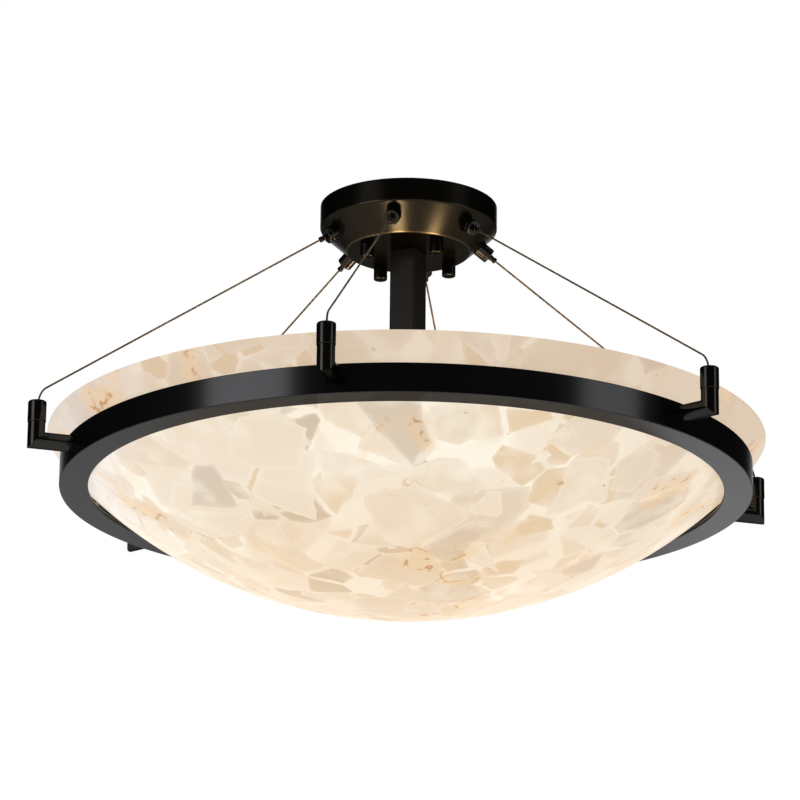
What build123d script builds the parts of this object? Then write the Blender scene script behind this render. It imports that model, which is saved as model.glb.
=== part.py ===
from build123d import *
import os
from math import acos, asin, atan2, cos, degrees, hypot, pi, radians, sin, sqrt, tan

# Semi flush ceiling light: a canopy holds a square stem with a lamp cluster, and six wire
# ropes that carry a rolled angle ring, in which a shallow bowl sits loose.
# The origin is the centre of the canopy where it meets the ceiling, with +Z up.

# Fits
SCREW_FIT = 0.1  # radial room round a screw, stud, nipple or spigot
RUNNING_FIT = 0.06  # radial room round a piece that turns or slides
REST_GAP = 0.3  # between a moving piece and what it rests on

# Canopy
CANOPY_RADIUS = 79.4
CANOPY_BAND = 20.8  # height of its upright band
CANOPY_DEPTH = 42.7
CANOPY_FLOOR_RADIUS = 54.7
CANOPY_EDGE = 1.5  # rounding of its two drawn edges
CANOPY_SHEET = 1.2

# Mounting plate, studs and thumb nuts
PLATE_RADIUS = 58.0
PLATE_THICKNESS = 2.0
WIRE_HOLE_RADIUS = 20.0
BOX_SCREW_SPACING = 88.9
BOX_SLOT_LENGTH = 14.0
BOX_SLOT_WIDTH = 4.8
STUD_RADIUS = 2.0
STUD_CIRCLE = 44.3
STUD_COUNT = 4
FIRST_STUD_ANGLE = 34.3
STUD_NUT_FLATS = 7.0
STUD_NUT_HEIGHT = 3.2
THUMB_NUT_RADIUS = 6.15
THUMB_NUT_LENGTH = 13.0
THUMB_NUT_EDGE = 0.9
THUMB_NUT_END = 3.0  # solid metal under its blind bore
GROUND_SCREW_CIRCLE = 30.0
GROUND_SCREW_RADIUS = 2.0
GROUND_HEAD_RADIUS = 4.0
GROUND_HEAD_HEIGHT = 2.4

# Stem and nipples
STEM_WIDTH = 25.4
STEM_WALL = 2.0
STEM_CORNER = 2.0
STEM_LENGTH = 215.3
STEM_END_PLATE = 3.0
STEM_ANGLE = -24.0  # of one face's normal, round the axis
NIPPLE_RADIUS = 4.85
NIPPLE_BORE = 3.3
NIPPLE_REACH = 3.0  # past what it fastens
NIPPLE_NUT_FLATS = 14.0
NIPPLE_NUT_HEIGHT = 4.0

# Lamp cluster
CLUSTER_WIDTH = 56.0
CLUSTER_HEIGHT = 34.0
CLUSTER_CORNER = 6.0
CLUSTER_SHEET = 1.6
COVER_LIP = 4.0
CAP_NUT_RADIUS = 8.0
CAP_NUT_HEIGHT = 10.0
CAP_NUT_EDGE = 2.0
LAMP_COUNT = 4
HOLDER_LENGTH = 44.0
HOLDER_NECK_RADIUS = 10.0
HOLDER_NECK_LENGTH = 3.0
HOLDER_SHOULDER = 13.0  # where the neck has widened to the shell
HOLDER_RADIUS = 18.5
SOCKET_RADIUS = 13.3
SOCKET_DEPTH = 30.0
BULB_RADIUS = 30.0
BULB_LENGTH = 108.0
BULB_BASE_RADIUS = 12.9
BULB_BASE_LENGTH = 26.6
BULB_CONTACT_RADIUS = 4.5
BULB_CONTACT_LENGTH = 4.0
BULB_NECK_RADIUS = 14.5

# Angle ring
RING_RADIUS = 304.8
RING_RISE = 14.2  # of its top above the foot of the stem
RING_LEG = 25.4
RING_THICKNESS = 4.0
RING_TOE = 2.0  # rounding of the inner edge of each leg

# Bowl and its pads
BOWL_SEAT_SLOPE = 41.94  # of its outside where it rests on the pads, in degrees
BOWL_OVERHANG = 13.4  # of its edge, before it is rounded, past the outside of the ring
BOWL_SHOULDER_RUN = 28.2  # from where it begins to steepen out to its edge
BOWL_SHOULDER = 184.0
BOWL_WALL = 6.5
BOWL_EDGE = 1.8
PAD_COUNT = 6
PAD_RADIUS = 4.0
PAD_INSET = 20.3  # of the pads' circle from the outside of the ring
PAD_THICKNESS = 2.5

# Brackets, caps and ropes
BRACKET_COUNT = 6
FIRST_BRACKET_ANGLE = 18.7
ROD_RADIUS = 7.56
ARM_DROP = 9.9  # of the arm's axis below the top of the ring
POST_STANDOFF = 30.4  # of the post's axis from the outside of the ring
POST_HEIGHT = 15.9  # from the arm's axis to the cap
CAP_RADIUS = 8.0
CAP_HEIGHT = 19.0
CAP_EDGE = 1.5
CAP_ROOF = 4.0
CAP_SEAM = 0.6
SPIGOT_RADIUS = 5.0
SPIGOT_HEIGHT = 8.0
BRACKET_SCREW_RADIUS = 3.0
BRACKET_SCREW_DEPTH = 14.0
BRACKET_HEAD_RADIUS = 5.2
BRACKET_HEAD_HEIGHT = 3.0
ROPE_RADIUS = 0.9
ROPE_ROOM = 0.5  # radial, in every hole that a rope passes
ROPE_CORNER_RISE = 8.0  # of the rope's corner above the cap
ROPE_BEND = 14.0
ROPE_TAIL = 5.0  # inside the canopy, past the gripper
STOP_RADIUS = 3.0
STOP_LENGTH = 6.0

# Rope grippers, with lengths measured outward from the canopy's cone along the rope
GRIPPER_SHARE = 0.5547  # how far up the cone the rope meets it
BARREL_RADIUS = 7.0
BARREL_LENGTH = 11.0
BARREL_EDGE = 0.8
BARREL_FRONT_WALL = 3.0
CHAMBER_RADIUS = 4.6
CHAMBER_LENGTH = 5.0
GRIPPER_STUD_RADIUS = 5.0
GRIPPER_STUD_LENGTH = 10.0
GRIPPER_NUT_FLATS = 14.0
GRIPPER_NUT_HEIGHT = 3.0
GRIPPER_NUT_ROOM = 0.2  # between its nearest corner and the slanted sheet
NOZZLE_RADIUS = 2.6
NOZZLE_REACH = 7.0  # out of the barrel
NOZZLE_TRAVEL = 2.0
NOZZLE_COLLAR_RADIUS = 4.2
NOZZLE_COLLAR = 1.0
NOZZLE_EDGE = 0.5

# Worked out from the above
stem_top = -CANOPY_DEPTH
stem_bottom = stem_top - STEM_LENGTH
cluster_bottom = stem_bottom - CLUSTER_HEIGHT
lamp_axis = stem_bottom - CLUSTER_HEIGHT / 2
ring_top = stem_bottom + RING_RISE
ring_bottom = ring_top - RING_LEG
flange_top = ring_bottom + RING_THICKNESS
post_circle = RING_RADIUS + POST_STANDOFF
arm_axis = ring_top - ARM_DROP
cap_bottom = arm_axis + POST_HEIGHT
cap_top = cap_bottom + CAP_HEIGHT
rope_hole = ROPE_RADIUS + ROPE_ROOM
bracket_angles = [FIRST_BRACKET_ANGLE + 360 / BRACKET_COUNT * n for n in range(BRACKET_COUNT)]
lamp_angles = [STEM_ANGLE + 360 / LAMP_COUNT * n for n in range(LAMP_COUNT)]
stud_angles = [FIRST_STUD_ANGLE + 360 / STUD_COUNT * n for n in range(STUD_COUNT)]

# The bowl rests on the inner edge of the pads. Its crown is the sphere with that slope there.
pad_circle = RING_RADIUS - PAD_INSET
pad_contact = pad_circle - PAD_RADIUS
bowl_crown = pad_contact / sin(radians(BOWL_SEAT_SLOPE))
crown_centre = flange_top + PAD_THICKNESS + REST_GAP + sqrt(bowl_crown**2 - pad_contact**2)
bowl_rim_radius = RING_RADIUS + BOWL_OVERHANG
bowl_shoulder_start = bowl_rim_radius - BOWL_SHOULDER_RUN

# The rope runs straight from the canopy's cone to its corner above the cap.
gripper_circle = CANOPY_FLOOR_RADIUS + (CANOPY_RADIUS - CANOPY_FLOOR_RADIUS) * GRIPPER_SHARE
gripper_height = -CANOPY_DEPTH + (CANOPY_DEPTH - CANOPY_BAND) * GRIPPER_SHARE
rope_corner = cap_top + ROPE_CORNER_RISE
rope_fall = atan2(gripper_height - rope_corner, post_circle - gripper_circle)

# The nut of a gripper stands square to the rope, and its corner has to clear the cone's sheet.
cone_lean = atan2(CANOPY_RADIUS - CANOPY_FLOOR_RADIUS, CANOPY_DEPTH - CANOPY_BAND) - rope_fall
nut_corner = GRIPPER_NUT_FLATS / 2 / cos(radians(30))
nut_setback = CANOPY_SHEET / cos(cone_lean) + nut_corner * abs(tan(cone_lean)) + GRIPPER_NUT_ROOM


def upright_plane(angle):
    """The plane through the light's axis at this angle round it, with x outward and y up."""
    outward = (cos(radians(angle)), sin(radians(angle)), 0)
    sideways = (sin(radians(angle)), -cos(radians(angle)), 0)
    return Plane(origin=(0, 0, 0), x_dir=outward, z_dir=sideways)


def lamp_plane(angle):
    """As upright_plane, with its origin on the lamp's axis at the face of the cluster box."""
    upright = upright_plane(angle)
    face_centre = upright.from_local_coords((CLUSTER_WIDTH / 2, lamp_axis, 0))
    return Plane(origin=face_centre, x_dir=upright.x_dir, z_dir=upright.z_dir)


def rope_plane(angle):
    """The upright plane turned to the rope: origin on the cone, x outward along the rope."""
    upright = upright_plane(angle)
    on_cone = upright.from_local_coords((gripper_circle, gripper_height, 0))
    along = upright.x_dir * cos(rope_fall) - upright.y_dir * sin(rope_fall)
    return Plane(origin=on_cone, x_dir=along, z_dir=upright.z_dir)


def x_axis(plane):
    return Axis(plane.origin, plane.x_dir)


def round_the_axis(radius, angle):
    return (radius * cos(radians(angle)), radius * sin(radians(angle)))


os.makedirs("parts", exist_ok=True)

# ---------------------------------------------------------------- mounting plate

with BuildPart() as mounting_plate:
    with BuildSketch(Plane.XY.offset(-PLATE_THICKNESS)):
        Circle(PLATE_RADIUS)
        Circle(WIRE_HOLE_RADIUS, mode=Mode.SUBTRACT)
        with Locations((-BOX_SCREW_SPACING / 2, 0), (BOX_SCREW_SPACING / 2, 0)):
            SlotOverall(BOX_SLOT_LENGTH, BOX_SLOT_WIDTH, mode=Mode.SUBTRACT)
        with Locations([round_the_axis(STUD_CIRCLE, angle) for angle in stud_angles]):
            Circle(STUD_RADIUS + SCREW_FIT, mode=Mode.SUBTRACT)
        with Locations((0, GROUND_SCREW_CIRCLE)):
            Circle(GROUND_SCREW_RADIUS + SCREW_FIT, mode=Mode.SUBTRACT)
    extrude(amount=PLATE_THICKNESS)
mounting_plate.part.label = "mounting_plate"
export_step(mounting_plate.part, "parts/mounting_plate.step")

with BuildPart() as ground_screw:
    with BuildSketch(Plane.XY.offset(-PLATE_THICKNESS)):
        with Locations((0, GROUND_SCREW_CIRCLE)):
            Circle(GROUND_SCREW_RADIUS)
    extrude(amount=PLATE_THICKNESS)
    with BuildSketch(Plane.XY.offset(-PLATE_THICKNESS)):
        with Locations((0, GROUND_SCREW_CIRCLE)):
            Circle(GROUND_HEAD_RADIUS)
    extrude(amount=-GROUND_HEAD_HEIGHT)
ground_screw.part.label = "ground_screw"
export_step(ground_screw.part, "parts/ground_screw.step")

# The studs stand flush in the plate and end just above the blind end of the thumb nuts.
thumb_nut_top = -CANOPY_DEPTH - REST_GAP
thumb_nut_bottom = thumb_nut_top - THUMB_NUT_LENGTH
stud_bottom = thumb_nut_bottom + THUMB_NUT_END + REST_GAP

with BuildPart() as mounting_studs:
    with BuildSketch():
        with Locations([round_the_axis(STUD_CIRCLE, angle) for angle in stud_angles]):
            Circle(STUD_RADIUS)
    extrude(amount=stud_bottom)
mounting_studs.part.label = "mounting_studs"
export_step(mounting_studs.part, "parts/mounting_studs.step")

with BuildPart() as stud_lock_nuts:
    with BuildSketch(Plane.XY.offset(-PLATE_THICKNESS)):
        with Locations([round_the_axis(STUD_CIRCLE, angle) for angle in stud_angles]):
            RegularPolygon(STUD_NUT_FLATS / 2, 6, major_radius=False)
            Circle(STUD_RADIUS + SCREW_FIT, mode=Mode.SUBTRACT)
    extrude(amount=-STUD_NUT_HEIGHT)
stud_lock_nuts.part.label = "stud_lock_nuts"
export_step(stud_lock_nuts.part, "parts/stud_lock_nuts.step")

# ---------------------------------------------------------------- canopy

# The outside of the canopy as a solid, which also trims the foot of each gripper.
with BuildPart() as canopy_form:
    with BuildSketch(Plane.XZ):
        with BuildLine():
            Polyline(
                (0, 0),
                (CANOPY_RADIUS, 0),
                (CANOPY_RADIUS, -CANOPY_BAND),
                (CANOPY_FLOOR_RADIUS, -CANOPY_DEPTH),
                (0, -CANOPY_DEPTH),
                close=True,
            )
        make_face()
    revolve(axis=Axis.Z)

with BuildPart() as canopy:
    add(canopy_form.part)
    drawn_edges = canopy.edges().filter_by(GeomType.CIRCLE).sort_by(Axis.Z)[:2]
    fillet(drawn_edges, CANOPY_EDGE)
    offset(amount=-CANOPY_SHEET, openings=canopy.faces().sort_by(Axis.Z)[-1])
    with BuildSketch(Plane.XY.offset(-CANOPY_DEPTH)):
        Circle(NIPPLE_RADIUS + SCREW_FIT)
        with Locations([round_the_axis(STUD_CIRCLE, angle) for angle in stud_angles]):
            Circle(STUD_RADIUS + SCREW_FIT)
    extrude(amount=2 * CANOPY_SHEET, mode=Mode.SUBTRACT)
    for angle in bracket_angles:
        across_rope = Plane(rope_plane(angle).origin, z_dir=rope_plane(angle).x_dir)
        with BuildSketch(across_rope):
            Circle(GRIPPER_STUD_RADIUS + SCREW_FIT)
        extrude(amount=GRIPPER_STUD_RADIUS, both=True, mode=Mode.SUBTRACT)
canopy.part.label = "canopy"
export_step(canopy.part, "parts/canopy.step")

# Each thumb nut turns on its stud, with a blind bore from above.
for number, angle in enumerate(stud_angles, start=1):
    nut_centre = round_the_axis(STUD_CIRCLE, angle)
    with BuildPart() as thumb_nut:
        with BuildSketch(Plane.XY.offset(thumb_nut_bottom)):
            with Locations(nut_centre):
                Circle(THUMB_NUT_RADIUS)
        extrude(amount=THUMB_NUT_LENGTH)
        chamfer(thumb_nut.edges().filter_by(GeomType.CIRCLE), THUMB_NUT_EDGE)
        with BuildSketch(Plane.XY.offset(thumb_nut_top)):
            with Locations(nut_centre):
                Circle(STUD_RADIUS + RUNNING_FIT)
        extrude(amount=THUMB_NUT_END - THUMB_NUT_LENGTH, mode=Mode.SUBTRACT)
    thumb_nut.part.label = f"thumb_nut_{number}"
    export_step(thumb_nut.part, f"parts/thumb_nut_{number}.step")

# ---------------------------------------------------------------- stem

with BuildPart() as stem:
    with BuildSketch(Plane.XY.offset(stem_bottom)):
        RectangleRounded(STEM_WIDTH, STEM_WIDTH, STEM_CORNER, rotation=STEM_ANGLE)
    extrude(amount=STEM_LENGTH)
    with BuildSketch(Plane.XY.offset(stem_bottom + STEM_END_PLATE)):
        inner_width = STEM_WIDTH - 2 * STEM_WALL
        Rectangle(inner_width, inner_width, rotation=STEM_ANGLE)
    extrude(amount=STEM_LENGTH - 2 * STEM_END_PLATE, mode=Mode.SUBTRACT)
    with BuildSketch(Plane.XY.offset(stem_bottom)):
        Circle(NIPPLE_RADIUS + SCREW_FIT)
    extrude(amount=STEM_LENGTH, mode=Mode.SUBTRACT)
stem.part.label = "stem"
export_step(stem.part, "parts/stem.step")

# Both nipples are hollow, for the wires. Each is held by a nut on the far sheet.
stem_nipple_low = stem_top - STEM_END_PLATE - NIPPLE_REACH
stem_nipple_high = stem_top + CANOPY_SHEET + NIPPLE_NUT_HEIGHT + NIPPLE_REACH
cluster_nipple_high = stem_bottom + STEM_END_PLATE + NIPPLE_REACH
cap_nut_bottom = cluster_bottom - CLUSTER_SHEET - CAP_NUT_HEIGHT
cluster_nipple_low = cap_nut_bottom + NIPPLE_REACH + REST_GAP

with BuildPart() as stem_nipple:
    with BuildSketch(Plane.XY.offset(stem_nipple_low)):
        Circle(NIPPLE_RADIUS)
        Circle(NIPPLE_BORE, mode=Mode.SUBTRACT)
    extrude(amount=stem_nipple_high - stem_nipple_low)
stem_nipple.part.label = "stem_nipple"
export_step(stem_nipple.part, "parts/stem_nipple.step")

with BuildPart() as cluster_nipple:
    with BuildSketch(Plane.XY.offset(cluster_nipple_low)):
        Circle(NIPPLE_RADIUS)
        Circle(NIPPLE_BORE, mode=Mode.SUBTRACT)
    extrude(amount=cluster_nipple_high - cluster_nipple_low)
cluster_nipple.part.label = "cluster_nipple"
export_step(cluster_nipple.part, "parts/cluster_nipple.step")

# ---------------------------------------------------------------- lamp cluster

inner_cluster = CLUSTER_WIDTH - 2 * CLUSTER_SHEET
inner_corner = CLUSTER_CORNER - CLUSTER_SHEET

with BuildPart() as cluster_body:
    with BuildSketch(Plane.XY.offset(cluster_bottom)):
        RectangleRounded(CLUSTER_WIDTH, CLUSTER_WIDTH, CLUSTER_CORNER, rotation=STEM_ANGLE)
    extrude(amount=CLUSTER_HEIGHT)
    with BuildSketch(Plane.XY.offset(cluster_bottom)):
        RectangleRounded(inner_cluster, inner_cluster, inner_corner, rotation=STEM_ANGLE)
    extrude(amount=CLUSTER_HEIGHT - CLUSTER_SHEET, mode=Mode.SUBTRACT)
    with BuildSketch(Plane.XY.offset(stem_bottom)):
        Circle(NIPPLE_RADIUS + SCREW_FIT)
    extrude(amount=-2 * CLUSTER_SHEET, mode=Mode.SUBTRACT)
    for angle in lamp_angles:
        across_lamp = Plane(lamp_plane(angle).origin, z_dir=lamp_plane(angle).x_dir)
        with BuildSketch(across_lamp):
            Circle(NIPPLE_RADIUS + SCREW_FIT)
        extrude(amount=-2 * CLUSTER_SHEET, mode=Mode.SUBTRACT)
cluster_body.part.label = "cluster_body"
export_step(cluster_body.part, "parts/cluster_body.step")

with BuildPart() as cluster_cover:
    with BuildSketch(Plane.XY.offset(cluster_bottom)):
        RectangleRounded(CLUSTER_WIDTH, CLUSTER_WIDTH, CLUSTER_CORNER, rotation=STEM_ANGLE)
    extrude(amount=-CLUSTER_SHEET)
    with BuildSketch(Plane.XY.offset(cluster_bottom)):
        lip_width = inner_cluster - 2 * SCREW_FIT
        lip_corner = inner_corner - SCREW_FIT
        RectangleRounded(lip_width, lip_width, lip_corner, rotation=STEM_ANGLE)
        offset(amount=-CLUSTER_SHEET, mode=Mode.SUBTRACT)
    extrude(amount=COVER_LIP)
    with BuildSketch(Plane.XY.offset(cluster_bottom)):
        Circle(NIPPLE_RADIUS + SCREW_FIT)
    extrude(amount=-CLUSTER_SHEET, mode=Mode.SUBTRACT)
cluster_cover.part.label = "cluster_cover"
export_step(cluster_cover.part, "parts/cluster_cover.step")

with BuildPart() as cluster_cap_nut:
    with BuildSketch(Plane.XY.offset(cap_nut_bottom)):
        Circle(CAP_NUT_RADIUS)
    extrude(amount=CAP_NUT_HEIGHT)
    chamfer(cluster_cap_nut.edges().filter_by(GeomType.CIRCLE).sort_by(Axis.Z)[0], CAP_NUT_EDGE)
    with BuildSketch(Plane.XY.offset(cap_nut_bottom + CAP_NUT_HEIGHT)):
        Circle(NIPPLE_RADIUS + SCREW_FIT)
    extrude(amount=NIPPLE_REACH - CAP_NUT_HEIGHT, mode=Mode.SUBTRACT)
cluster_cap_nut.part.label = "cluster_cap_nut"
export_step(cluster_cap_nut.part, "parts/cluster_cap_nut.step")

# One nut on the canopy floor, one under the top of the box, one inside each of its sides.
with BuildPart() as nipple_lock_nuts:
    for foot in (stem_top + CANOPY_SHEET, stem_bottom - CLUSTER_SHEET - NIPPLE_NUT_HEIGHT):
        with BuildSketch(Plane.XY.offset(foot)):
            RegularPolygon(NIPPLE_NUT_FLATS / 2, 6, major_radius=False, rotation=STEM_ANGLE)
            Circle(NIPPLE_RADIUS + SCREW_FIT, mode=Mode.SUBTRACT)
        extrude(amount=NIPPLE_NUT_HEIGHT)
    for angle in lamp_angles:
        wall = Plane(lamp_plane(angle).origin, z_dir=lamp_plane(angle).x_dir)
        with BuildSketch(wall.offset(-CLUSTER_SHEET)):
            RegularPolygon(NIPPLE_NUT_FLATS / 2, 6, major_radius=False)
            Circle(NIPPLE_RADIUS + SCREW_FIT, mode=Mode.SUBTRACT)
        extrude(amount=-NIPPLE_NUT_HEIGHT)
nipple_lock_nuts.part.label = "nipple_lock_nuts"
export_step(nipple_lock_nuts.part, "parts/nipple_lock_nuts.step")

# The lampholder's own nipple goes through the side of the box. Its socket opens outward.
holder_tail = -CLUSTER_SHEET - NIPPLE_NUT_HEIGHT - NIPPLE_REACH / 2
bulb_foot = HOLDER_LENGTH + REST_GAP - BULB_BASE_LENGTH
bulb_centre = bulb_foot + BULB_LENGTH - BULB_RADIUS
bulb_neck = HOLDER_LENGTH + REST_GAP

# The neck of the glass runs as a cone that is tangent to the round end.
neck_run = bulb_centre - bulb_neck
neck_turn = asin(BULB_RADIUS / hypot(neck_run, BULB_NECK_RADIUS)) - atan2(BULB_NECK_RADIUS, neck_run)
neck_end = (bulb_centre - BULB_RADIUS * sin(neck_turn), BULB_RADIUS * cos(neck_turn))

for number, angle in enumerate(lamp_angles, start=1):
    plane = lamp_plane(angle)
    with BuildPart() as lampholder:
        with BuildSketch(plane):
            with BuildLine():
                Polyline(
                    (holder_tail, 0),
                    (holder_tail, NIPPLE_RADIUS),
                    (0, NIPPLE_RADIUS),
                    (0, HOLDER_NECK_RADIUS),
                    (HOLDER_NECK_LENGTH, HOLDER_NECK_RADIUS),
                    (HOLDER_SHOULDER, HOLDER_RADIUS),
                    (HOLDER_LENGTH, HOLDER_RADIUS),
                    (HOLDER_LENGTH, SOCKET_RADIUS),
                    (HOLDER_LENGTH - SOCKET_DEPTH, SOCKET_RADIUS),
                    (HOLDER_LENGTH - SOCKET_DEPTH, 0),
                    close=True,
                )
            make_face()
        revolve(axis=x_axis(plane))
    lampholder.part.label = f"lampholder_{number}"
    export_step(lampholder.part, f"parts/lampholder_{number}.step")

    with BuildPart() as bulb:
        with BuildSketch(plane):
            with BuildLine():
                foot = Polyline(
                    (bulb_centre + BULB_RADIUS, 0),
                    (bulb_foot, 0),
                    (bulb_foot, BULB_CONTACT_RADIUS),
                    (bulb_foot + BULB_CONTACT_LENGTH, BULB_BASE_RADIUS),
                    (bulb_neck, BULB_BASE_RADIUS),
                    (bulb_neck, BULB_NECK_RADIUS),
                    neck_end,
                )
                RadiusArc(foot @ 1, foot @ 0, BULB_RADIUS)
            make_face()
        revolve(axis=x_axis(plane))
    bulb.part.label = f"bulb_{number}"
    export_step(bulb.part, f"parts/bulb_{number}.step")

# ---------------------------------------------------------------- angle ring

with BuildPart() as ring:
    with BuildSketch(Plane.XZ) as ring_section:
        with Locations((RING_RADIUS, ring_bottom)):
            Rectangle(RING_LEG, RING_LEG, align=(Align.MAX, Align.MIN))
        with Locations((RING_RADIUS - RING_THICKNESS, flange_top)):
            hollow = RING_LEG - RING_THICKNESS
            Rectangle(hollow, hollow, align=(Align.MAX, Align.MIN), mode=Mode.SUBTRACT)
        flange_toe = ring_section.vertices().sort_by_distance((RING_RADIUS - RING_LEG, 0, flange_top))[0]
        leg_toe = ring_section.vertices().sort_by_distance((RING_RADIUS - RING_THICKNESS, 0, ring_top))[0]
        fillet([flange_toe, leg_toe], RING_TOE)
    revolve(axis=Axis.Z)
    for angle in bracket_angles:
        upright = upright_plane(angle)
        arm_foot = upright.from_local_coords((RING_RADIUS, arm_axis, 0))
        with BuildSketch(Plane(arm_foot, z_dir=upright.x_dir)):
            Circle(BRACKET_SCREW_RADIUS + SCREW_FIT)
        extrude(amount=-2 * RING_THICKNESS, mode=Mode.SUBTRACT)
ring.part.label = "ring"
export_step(ring.part, "parts/ring.step")

# ---------------------------------------------------------------- bowl

# A spherical crown, then a tighter tangent shoulder up to a rim that is ground level.
# Angles are from straight down, round the centre of each arc.
shoulder_from = asin(bowl_shoulder_start / bowl_crown)
shoulder_to = asin(sin(shoulder_from) + (bowl_rim_radius - bowl_shoulder_start) / BOWL_SHOULDER)
shoulder_offset = bowl_crown - BOWL_SHOULDER
shoulder_centre = (shoulder_offset * sin(shoulder_from), crown_centre - shoulder_offset * cos(shoulder_from))
inner_to = acos(BOWL_SHOULDER * cos(shoulder_to) / (BOWL_SHOULDER - BOWL_WALL))

with BuildPart() as bowl:
    with BuildSketch(Plane.XZ) as bowl_section:
        with BuildLine():
            crown_turn = degrees(shoulder_from)
            outer_turn = degrees(shoulder_to - shoulder_from)
            inner_turn = degrees(inner_to - shoulder_from)
            inner_crown = bowl_crown - BOWL_WALL
            inner_shoulder = BOWL_SHOULDER - BOWL_WALL
            outside = CenterArc((0, crown_centre), bowl_crown, -90, crown_turn)
            outer_end = CenterArc(shoulder_centre, BOWL_SHOULDER, crown_turn - 90, outer_turn)
            inside = CenterArc((0, crown_centre), inner_crown, -90, crown_turn)
            inner_end = CenterArc(shoulder_centre, inner_shoulder, crown_turn - 90, inner_turn)
            Line(outside @ 0, inside @ 0)
            Line(outer_end @ 1, inner_end @ 1)
        make_face()
        rim_corners = bowl_section.vertices().sort_by(Axis.Y)[-2:]
        fillet(rim_corners, BOWL_EDGE)
    revolve(axis=Axis.Z)
bowl.part.label = "bowl"
export_step(bowl.part, "parts/bowl.step")

pad_angles = [FIRST_BRACKET_ANGLE + 360 / PAD_COUNT * (n + 0.5) for n in range(PAD_COUNT)]
with BuildPart() as bowl_pads:
    with BuildSketch(Plane.XY.offset(flange_top)):
        with Locations([round_the_axis(pad_circle, angle) for angle in pad_angles]):
            Circle(PAD_RADIUS)
    extrude(amount=PAD_THICKNESS)
bowl_pads.part.label = "bowl_pads"
export_step(bowl_pads.part, "parts/bowl_pads.step")

# ---------------------------------------------------------------- brackets and caps

# Each bracket is a mitred round rod: an arm from the ring, and a post with a spigot on top.
for number, angle in enumerate(bracket_angles, start=1):
    upright = upright_plane(angle)
    with BuildPart() as bracket:
        with BuildLine(upright) as rod_line:
            Polyline((RING_RADIUS, arm_axis), (post_circle, arm_axis), (post_circle, cap_bottom))
        with BuildSketch(Plane(rod_line.line @ 0, z_dir=upright.x_dir)):
            Circle(ROD_RADIUS)
        sweep(transition=Transition.RIGHT)
        chamfer(bracket.faces().sort_by(Axis.Z)[-1].edges(), CAP_SEAM)
        with BuildSketch(Plane(rod_line.line @ 1)):
            Circle(SPIGOT_RADIUS)
        extrude(amount=SPIGOT_HEIGHT)
        with BuildSketch(Plane(rod_line.line @ 0, z_dir=upright.x_dir)):
            Circle(BRACKET_SCREW_RADIUS + SCREW_FIT)
        extrude(amount=BRACKET_SCREW_DEPTH, mode=Mode.SUBTRACT)
    bracket.part.label = f"bracket_{number}"
    export_step(bracket.part, f"parts/bracket_{number}.step")

    with BuildPart() as rope_cap:
        with BuildSketch(Plane(rod_line.line @ 1)):
            Circle(CAP_RADIUS)
        extrude(amount=CAP_HEIGHT)
        rims = rope_cap.edges().filter_by(GeomType.CIRCLE).sort_by(Axis.Z)
        chamfer(rims[0], CAP_SEAM)
        fillet(rims[-1], CAP_EDGE)
        with BuildSketch(Plane(rod_line.line @ 1)):
            Circle(SPIGOT_RADIUS + SCREW_FIT)
        extrude(amount=CAP_HEIGHT - CAP_ROOF, mode=Mode.SUBTRACT)
        with BuildSketch(Plane(rod_line.line @ 1)):
            Circle(rope_hole)
        extrude(amount=CAP_HEIGHT, mode=Mode.SUBTRACT)
    rope_cap.part.label = f"rope_cap_{number}"
    export_step(rope_cap.part, f"parts/rope_cap_{number}.step")

# Screws from inside the ring, under the bowl's shoulder.
with BuildPart() as bracket_screws:
    for angle in bracket_angles:
        upright = upright_plane(angle)
        head_seat = sqrt((RING_RADIUS - RING_THICKNESS) ** 2 - BRACKET_HEAD_RADIUS**2)
        leg_face = upright.from_local_coords((head_seat, arm_axis, 0))
        with BuildSketch(Plane(leg_face, z_dir=upright.x_dir)):
            Circle(BRACKET_HEAD_RADIUS)
        extrude(amount=-BRACKET_HEAD_HEIGHT)
        with BuildSketch(Plane(leg_face, z_dir=upright.x_dir)):
            Circle(BRACKET_SCREW_RADIUS)
        extrude(amount=RING_THICKNESS + BRACKET_SCREW_DEPTH - REST_GAP)
bracket_screws.part.label = "bracket_screws"
export_step(bracket_screws.part, "parts/bracket_screws.step")

# ---------------------------------------------------------------- ropes and grippers

# A crimped stop hangs under the roof of each cap and carries the ring.
stop_top = cap_top - CAP_ROOF
with BuildPart() as rope_stops:
    with BuildSketch(Plane.XY.offset(stop_top)):
        with Locations([round_the_axis(post_circle, angle) for angle in bracket_angles]):
            Circle(STOP_RADIUS)
            Circle(ROPE_RADIUS + SCREW_FIT / 2, mode=Mode.SUBTRACT)
    extrude(amount=-STOP_LENGTH)
rope_stops.part.label = "rope_stops"
export_step(rope_stops.part, "parts/rope_stops.step")

rope_start = -GRIPPER_STUD_LENGTH - ROPE_TAIL
print("rope bend radius", ROPE_BEND, "mm, turn", round(90 - degrees(rope_fall), 1), "degrees")

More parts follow.
